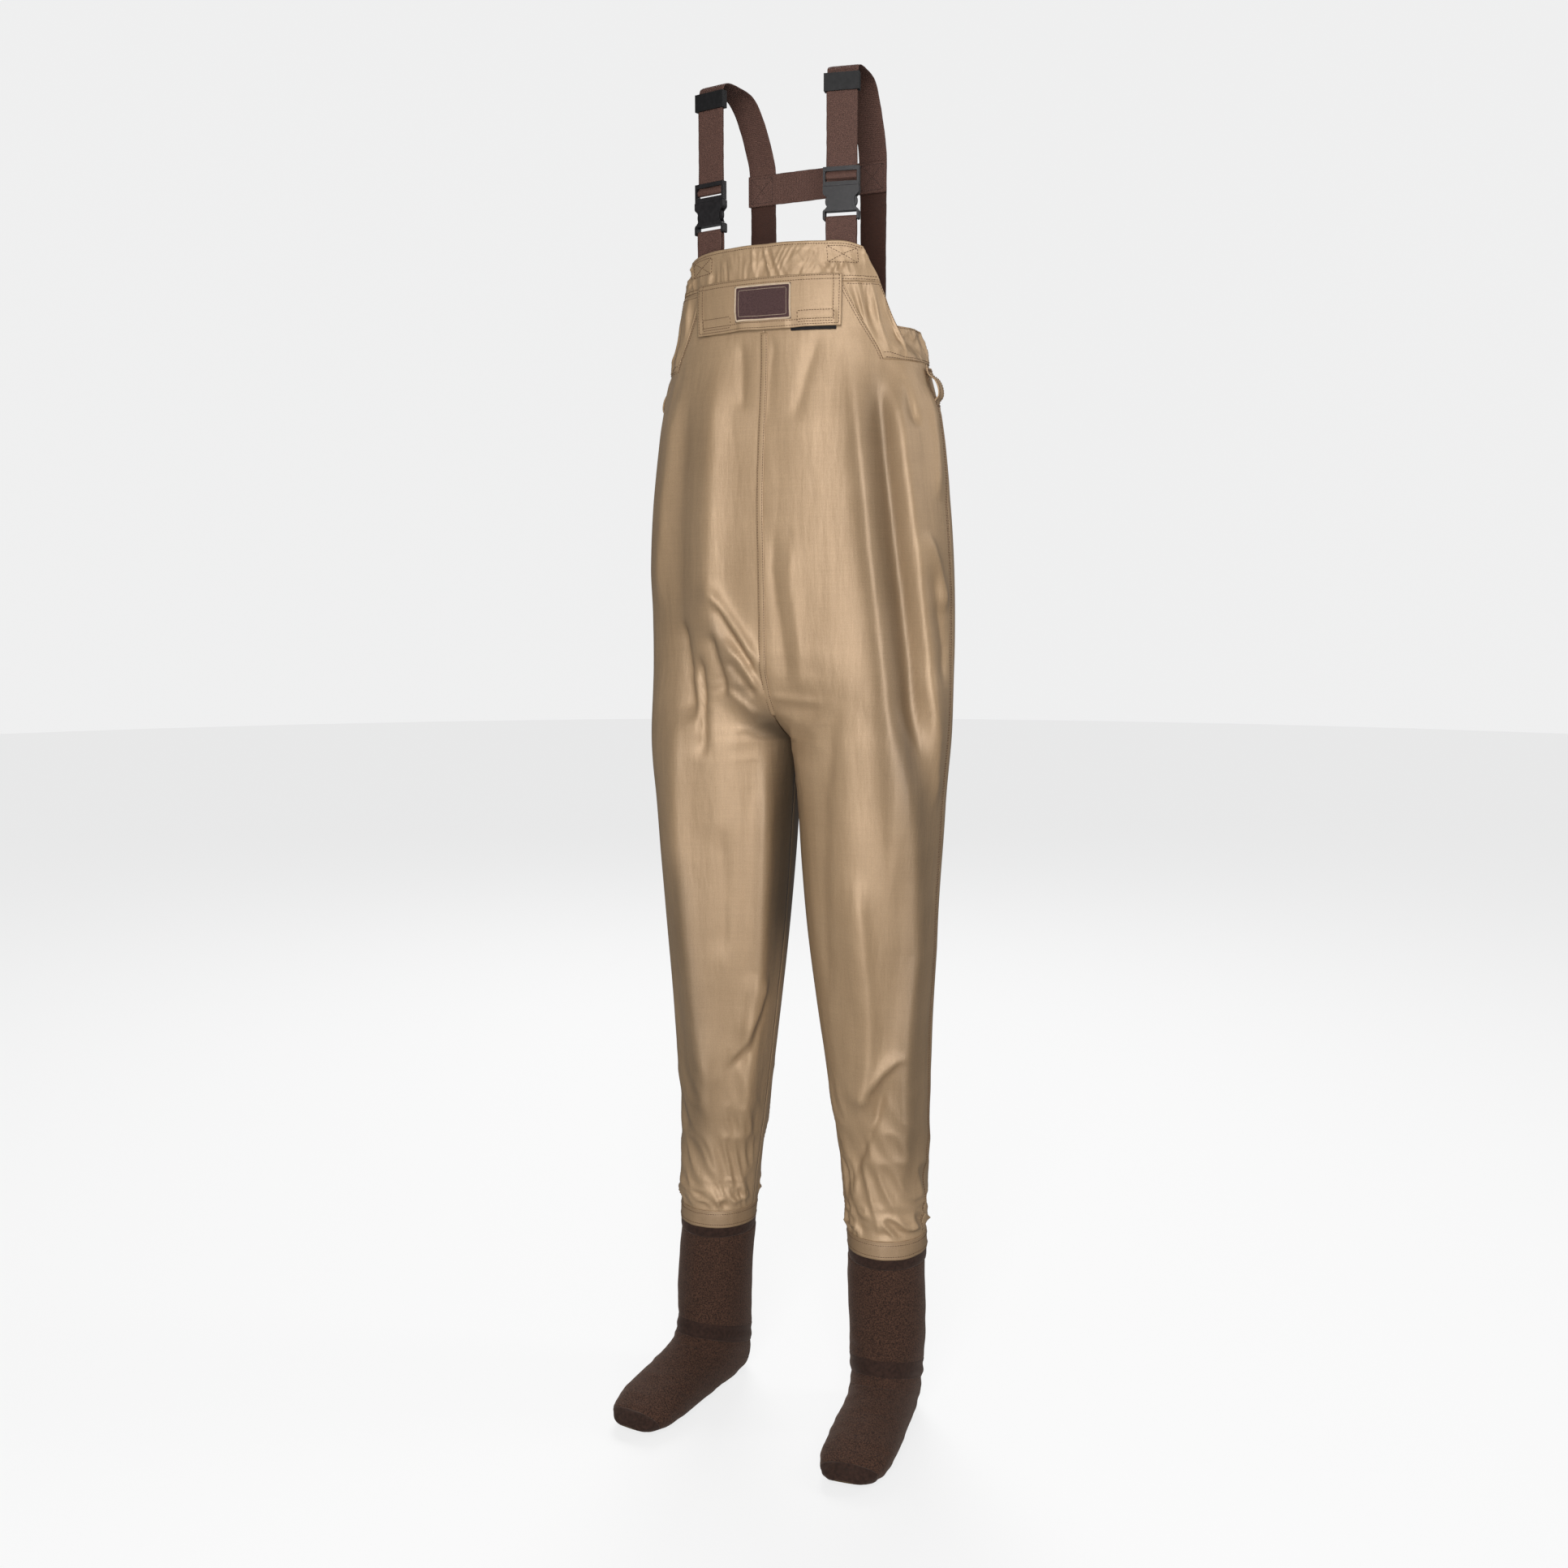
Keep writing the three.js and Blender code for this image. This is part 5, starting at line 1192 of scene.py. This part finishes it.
SOLE_EDGE = math.radians(128)
TAPE_OFF = 0.55
for side, sign in SIDES:
    shares = np.linspace(0, 1, 121)[:-1]
    point, outward = grid_of(lambda s, h: cuff_face(s, h, sign), shares,
                             np.linspace(HEM_BOTTOM - 1, HEM_TOP + 0.6, 16))
    cuff = cloth_piece(f"{side}_cuff_cloth", point, CUFF_CLOTH, NYLON_CUFF, wrap=True, outward=outward)
    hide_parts(f"{side}_leg_cuff")
    shares = np.linspace(0, 1, 160)
    lines = [on(lambda s, h, off: cuff_face(s, h, sign, off), shares, h + 0 * shares, LIFT) for h in (230.6, 217)]
    stitches(f"{side}_cuff_stitches", lines, NYLON_THREAD)

    shares = np.linspace(0, 1, 97)[:-1]
    top_off = lambda s, h: leg_round(
        s, h, sign, 0.35 - 0.5 * smooth(204, 200, h) + 0.3 * noise(s * 10, h / 9, 82))
    point, outward = grid_of(top_off, shares, np.linspace(SOCK_TAPE_BOTTOM, HEM_BOTTOM + 3, 12))
    tape = cloth_piece(f"{side}_top_tape", point, TOP_TAPE, SEAM_TAPE, wrap=True, outward=outward)
    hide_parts(f"{side}_sock_top_tape")

    full = np.linspace(0, 2 * math.pi, 97)[:-1]
    upper = np.linspace(-SOLE_EDGE, SOLE_EDGE, 66)
    shaft = sock_piece(f"{side}_sock_shaft_knit", sign, np.linspace(-0.02, 3.02, 56), full, NEOPRENE_KNIT, 0, KNIT,
                       [f"{side}_sock_shaft"])
    sock_piece(f"{side}_ankle_binding", sign, np.linspace(2.98, 4.02, 22), full, SEAM_TAPE, TAPE_OFF, BINDING,
               [f"{side}_ankle_tape"], 0.8)
    sock_piece(f"{side}_heel_knit", sign, np.linspace(4, 5.03, 18), full, NEOPRENE_KNIT, 0, KNIT,
               [f"{side}_sock_heel"])
    foot = sock_piece(f"{side}_foot_knit", sign, np.linspace(4.98, 11.02, 60), upper, NEOPRENE_KNIT, 0, KNIT,
                      [f"{side}_sock_foot"], wrap=False)
    sock_piece(f"{side}_toe_binding", sign, np.linspace(10.96, 13, 26), upper, SEAM_TAPE, TAPE_OFF, BINDING,
               [f"{side}_toe_tape"], 0.6, wrap=False)
    under = np.linspace(SOLE_EDGE, 2 * math.pi - SOLE_EDGE, 40)
    sock_piece(f"{side}_sole_knit", sign, np.linspace(4.98, 13, 70), under, SOLE_KNIT, 0.25, BINDING,
               [f"{side}_sock_sole"], wrap=False)

# ------------------------------------------------------------------ straps, loops

WEB, WEB_THICK = 35.0, 1.4
BRACE_X, BRACE_Y, BRACE_YAW = 82.0, -64.0, 11.0
BACK_X, BACK_Y = 72.0, 54.0
CROSS_BOTTOM, CROSS_TOP = 1480.0, 1516.0
BUCKLE_BOTTOM = 1424.0
LADDER_MIDDLE = BUCKLE_BOTTOM + 36.5 + 10.3
RUN_BOTTOM, RUN_TOP = LADDER_MIDDLE + 7.4, 1582.0
RIB_PITCH = 2.15


def spline(points, count):
    """A centripetal Catmull-Rom curve through points, as three.js makes it."""
    p = np.asarray(points, float)
    last = len(p) - 1
    p = np.concatenate([[2 * p[0] - p[1]], p, [2 * p[-1] - p[-2]]])
    at = np.linspace(0, last, count)
    k = np.minimum(at.astype(int), last - 1)
    w = (at - k)[:, None]
    a, b, c, d = p[k], p[k + 1], p[k + 2], p[k + 3]
    gap = [np.maximum(np.sum((v - u) ** 2, -1) ** 0.25, 1e-4)[:, None] for u, v in ((a, b), (b, c), (c, d))]
    m0 = ((b - a) / gap[0] - (c - a) / (gap[0] + gap[1]) + (c - b) / gap[1]) * gap[1]
    m1 = ((c - b) / gap[1] - (d - b) / (gap[1] + gap[2]) + (d - c) / gap[2]) * gap[1]
    return b + m0 * w + (-3 * b + 3 * c - 2 * m0 - m1) * w**2 + (2 * b - 2 * c + m0 + m1) * w**3, at


def band_frames(stations, pitch=0.43):
    """Centre, across and face directions at an even pitch along a strap's path."""
    stations = np.asarray(stations, float)
    dense, at = spline(stations[:, :3], 1500)
    yaw = np.radians(np.interp(at, np.arange(len(stations)), stations[:, 3]))
    reach = np.concatenate([[0], np.cumsum(np.linalg.norm(np.diff(dense, axis=0), axis=1))])
    count = max(int(reach[-1] / pitch), 8)
    s = np.linspace(0, reach[-1], count + 1)
    centre = np.stack([np.interp(s, reach, dense[:, k]) for k in range(3)], -1)
    yaw = np.interp(s, reach, yaw)
    tangent = unit(np.gradient(centre, axis=0))
    across = np.stack([np.cos(yaw), np.sin(yaw), 0 * yaw], -1)
    across = unit(across - tangent * np.sum(across * tangent, -1, keepdims=True))
    return s, centre, across, np.cross(tangent, across), tangent


def strap_mesh(name, frames, width, thick, look, ribs=0.22, body="garment",
               pitch=RIB_PITCH, cup=0.0, wobble=0.0):
    """A woven band with raised ribs across it and firm rounded selvedges."""
    s, centre, across, face = frames[:4]
    columns = np.linspace(-1, 1, 15)
    columns = np.sign(columns) * (1 - (1 - np.abs(columns)) ** 1.3)
    edge = np.abs(columns) ** 10
    rib = ribs * np.sin(2 * math.pi * s / pitch)[:, None] * (1 - 0.55 * edge)[None]
    half = thick / 2 - ribs * 0.5 - 0.42 * thick / 2 * edge[None]
    bow = (cup * (1 - columns**2))[None] + wobble * noise(s[:, None] / 26, columns[None] * 0.7, 91)
    ragged = 0.22 * noise(s / 5, 0.5, 92)[:, None] * edge[None] * np.sign(columns)[None]
    base = (centre[:, None] + across[:, None] * (columns[None, :, None] * width / 2 + ragged[..., None])
            + face[:, None] * bow[..., None])
    top = base + face[:, None] * (half + rib)[..., None]
    bottom = base - face[:, None] * (half + rib)[..., None]
    ring = np.concatenate([top, bottom[:, ::-1]], 1)
    rows, count = ring.shape[:2]
    i, j = np.meshgrid(np.arange(rows - 1), np.arange(count), indexing="ij")
    nxt = (j + 1) % count
    faces = np.stack([i * count + j, i * count + nxt, (i + 1) * count + nxt, (i + 1) * count + j], -1).reshape(-1, 4)
    faces = faces.tolist()
    for row, turn in ((0, 1), (rows - 1, -1)):
        n = len(columns)
        for k in range(n - 1):
            quad = [row * count + k, row * count + count - 1 - k, row * count + count - 2 - k, row * count + k + 1]
            faces.append(quad[::turn])
    u = np.concatenate([columns, columns[::-1]]) * width / 2
    uv = np.stack(np.broadcast_arrays(u[None], s[:, None]), -1).reshape(-1, 2) / 1000
    return link(name, metres(ring.reshape(-1, 3)), faces, uv, look, body)


def placed(stations, sign):
    """Stations in a brace's own frame, moved to the garment."""
    yaw = math.radians(sign * BRACE_YAW)
    out = []
    for x, y, z, turn in stations:
        out.append((sign * BRACE_X + x * math.cos(yaw) - y * math.sin(yaw),
                    BRACE_Y + x * math.sin(yaw) + y * math.cos(yaw), z, turn + sign * BRACE_YAW))
    return out


def u_turn(bend, middle, steps, up):
    return [(0, bend * math.cos(math.pi * k / steps), middle + up * bend * math.sin(math.pi * k / steps), 0)
            for k in range(steps + 1)]


CROWN = [
    (-61.8, 1582.4, 0), (-59, 1588, 0.06), (-50, 1592, 0.14), (-25, 1593.5, 0.32), (0, 1591.5, 0.52), (15, 1583, 0.66),
    (33, 1562, 0.82), (46, 1540, 0.92), (52, 1527, 0.98), (54, 1517.5, 1), (54, 1498, 1), (54, 1480, 1),
]
ELASTIC_PATH = [(56, 1510, 0), (56, 1470, 0), (57, 1420, 0.35), (60, 1350, 0.85), (62.8, 1312, 1), (67, 1290, 1)]


def on_strap(frames, side_of, segments, off):
    """Stitch lines drawn on a strap: segments hold (across in mm, distance along)."""
    s, centre, across, face = frames[:4]
    lines = []
    for (x0, s0), (x1, s1) in segments:
        share = np.linspace(0, 1, 14)
        x, at = mix(x0, x1, share), mix(s0, s1, share)
        pick = lambda v: np.stack([np.interp(at, s, v[:, k]) for k in range(3)], -1)
        point = pick(centre) + pick(across) * x[:, None] + side_of * pick(face) * off
        lines.append(np.concatenate([point, side_of * pick(face)], -1))
    return lines


WEB_SEWING = dict(pitch=2.6, length=2.1, radius=0.3)
for side, sign in SIDES:
    bend, low_end, bar = 2.6, 1364.0, BUCKLE_BOTTOM + 1.3
    path = [(0, bend, low_end, 0), (0, bend, low_end + 30, 0), (0, bend, bar - 3, 0)]
    path += u_turn(bend, bar, 6, 1) + [(0, -bend, bar - 3, 0), (0, -bend, low_end + 30, 0), (0, -bend, low_end, 0)]
    lower = strap_mesh(f"{side}_lower_web", band_frames(placed(path, sign)), WEB, WEB_THICK, WEBBING)
    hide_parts(f"{side}_lower_strap")

    path = [(0, 2.2, LADDER_MIDDLE + 7, 0), (0, 2.6, LADDER_MIDDLE + 2.5, 0)]
    path += u_turn(2.6, LADDER_MIDDLE, 6, -1)
    path += [(0, -2.6, LADDER_MIDDLE + 1.4, 0), (0, -1.2, LADDER_MIDDLE + 3.4, 0), (0, 0, LADDER_MIDDLE + 5, 0),
             (0, 0, LADDER_MIDDLE + 7, 0)]
    turn = strap_mesh(f"{side}_turn_web", band_frames(placed(path, sign), 0.4), WEB, WEB_THICK, WEBBING, ribs=0.12,
                      body=f"{side}_buckle_half")
    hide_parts(f"{side}_strap_turn")

    for layer, y, node_name in (("run", 2.2, "strap_run"), ("tail", 0.0, "strap_tail")):
        frames = band_frames(placed([(0, y, RUN_BOTTOM - 0.3, 0), (0, y, 1530, 0), (0, y, RUN_TOP, 0)], sign), 0.5)
        web = strap_mesh(f"{side}_{layer}_web", frames, WEB - (0 if layer == "run" else 0.4), WEB_THICK, WEBBING)
        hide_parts(f"{side}_{node_name}")
        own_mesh(web)

    stations = [(sign * mix(BRACE_X, BACK_X, d), y, h, sign * mix(BRACE_YAW, 0, d)) for y, h, d in CROWN]
    crown_frames = band_frames(stations)
    crown = strap_mesh(f"{side}_shoulder_web", crown_frames, WEB, WEB_THICK, WEBBING)
    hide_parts(f"{side}_shoulder_strap")

    stations = [(sign * BACK_X, y, h, -12 * sign * turn) for y, h, turn in ELASTIC_PATH]
    elastic_frames = band_frames(stations, 0.8)
    elastic = strap_mesh(f"{side}_elastic_band", elastic_frames, WEB - 2, 1.8, ELASTIC,
                         ribs=0.05, pitch=3.1, wobble=0.5)
    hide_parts(f"{side}_back_elastic")
    length = elastic_frames[0][-1]
    segments = box_x(-13, 13, 3, 27) + box_x(-13, 13, length - 19, length - 3)[:4]
    stitches(f"{side}_elastic_stitches", on_strap(elastic_frames, -1, segments, 1.0), WEBBING_THREAD, **WEB_SEWING)
    lines = on_strap(crown_frames, -1, [((-15, 2), (15, 2)), ((-15, 5), (15, 5))], 0.9)
    stitches(f"{side}_shoulder_stitches", lines, WEBBING_THREAD, **WEB_SEWING)

CROSS_LAYER = BACK_Y - WEB_THICK - 0.6
CROSS_HALF = BACK_X + WEB / 2 + 0.5
cross_mid = (CROSS_BOTTOM + CROSS_TOP) / 2
steps = np.arange(-CROSS_HALF, CROSS_HALF + 0.2, 0.5)
flat = np.ones(len(steps))
axis = lambda x, y, z: np.stack([x * flat, y * flat, z * flat], -1)
cross_frames = (steps + CROSS_HALF, np.stack([steps, CROSS_LAYER * flat, cross_mid * flat], -1), axis(0, 0, 1),
                axis(0, -1, 0), axis(1, 0, 0))
cross = strap_mesh("back_cross_web", cross_frames, CROSS_TOP - CROSS_BOTTOM, WEB_THICK, WEBBING)
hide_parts("back_cross_strap")
lines = []
for sign in (1, -1):
    middle = CROSS_HALF + sign * BACK_X
    squares = [((a[1], a[0]), (b[1], b[0])) for a, b in box_x(middle - 14, middle + 14, -14.5, 14.5)]
    lines += on_strap(cross_frames, 1, squares, 0.75)
stitches("back_cross_stitches", lines, WEBBING_THREAD, **WEB_SEWING)

LOOP_PROFILE = [(0, 0), (0.16, 0), (0.3, 0.75), (0.5, 1), (0.7, 0.75), (0.84, 0), (1, 0)]
for name, (out_x, out_y) in {"left": (1, 0), "right": (-1, 0), "back": (0, 1)}.items():
    yaw = math.degrees(math.atan2(out_x, out_y))
    stations = []
    for up, out in LOOP_PROFILE:
        h = 1266 - 46 * (1 - up)
        reach = float(along(TORSO, h, 3 if out_y else 1)) + (1.2 if out_y else 0) + 2.0 + 8 * out
        stations.append((out_x * reach, out_y * reach, h, yaw))
    frames = band_frames(stations, 0.9)
    loop = strap_mesh(f"{name}_loop_cloth", frames, 16, 1.7, NYLON, ribs=0.0, cup=0.4, wobble=0.3)
    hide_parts(f"{name}_belt_loop")
    length = frames[0][-1]
    face_side = 1 if frames[3][0] @ np.array([out_x, out_y, 0]) > 0 else -1
    edges = [((x, 2), (x, length - 2)) for x in (-6, 6)]
    tacks = [((-6, at), (6, at)) for at in (2.2, 4, length - 4, length - 2.2)]
    stitches(f"{name}_loop_stitches", on_strap(frames, face_side, edges + tacks, 1.1), NYLON_THREAD)

# ------------------------------------------------------------- moulded plastic

for side, sign in SIDES:
    parts = (("buckle_shell", PLASTIC, 0.55), ("buckle_frame", PLASTIC, 0.5), ("outer_prong", PLASTIC, 0.45),
             ("inner_prong", PLASTIC, 0.45), ("keeper", PLASTIC_KEEPER, 0.6))
    for part, (material, slot), width in parts:
        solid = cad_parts[f"{side}_{part}"]
        solid.data.materials.clear()
        solid.data.materials.append(material)
        rounding = solid.modifiers.new("rounding", "BEVEL")
        rounding.width = width / 1000
        rounding.segments = 3
        rounding.limit_method = "ANGLE"
        rounding.angle_limit = math.radians(35)
        shade = solid.modifiers.new("normals", "WEIGHTED_NORMAL")
        shade.keep_sharp = False
        for polygon in solid.data.polygons:
            polygon.use_smooth = True
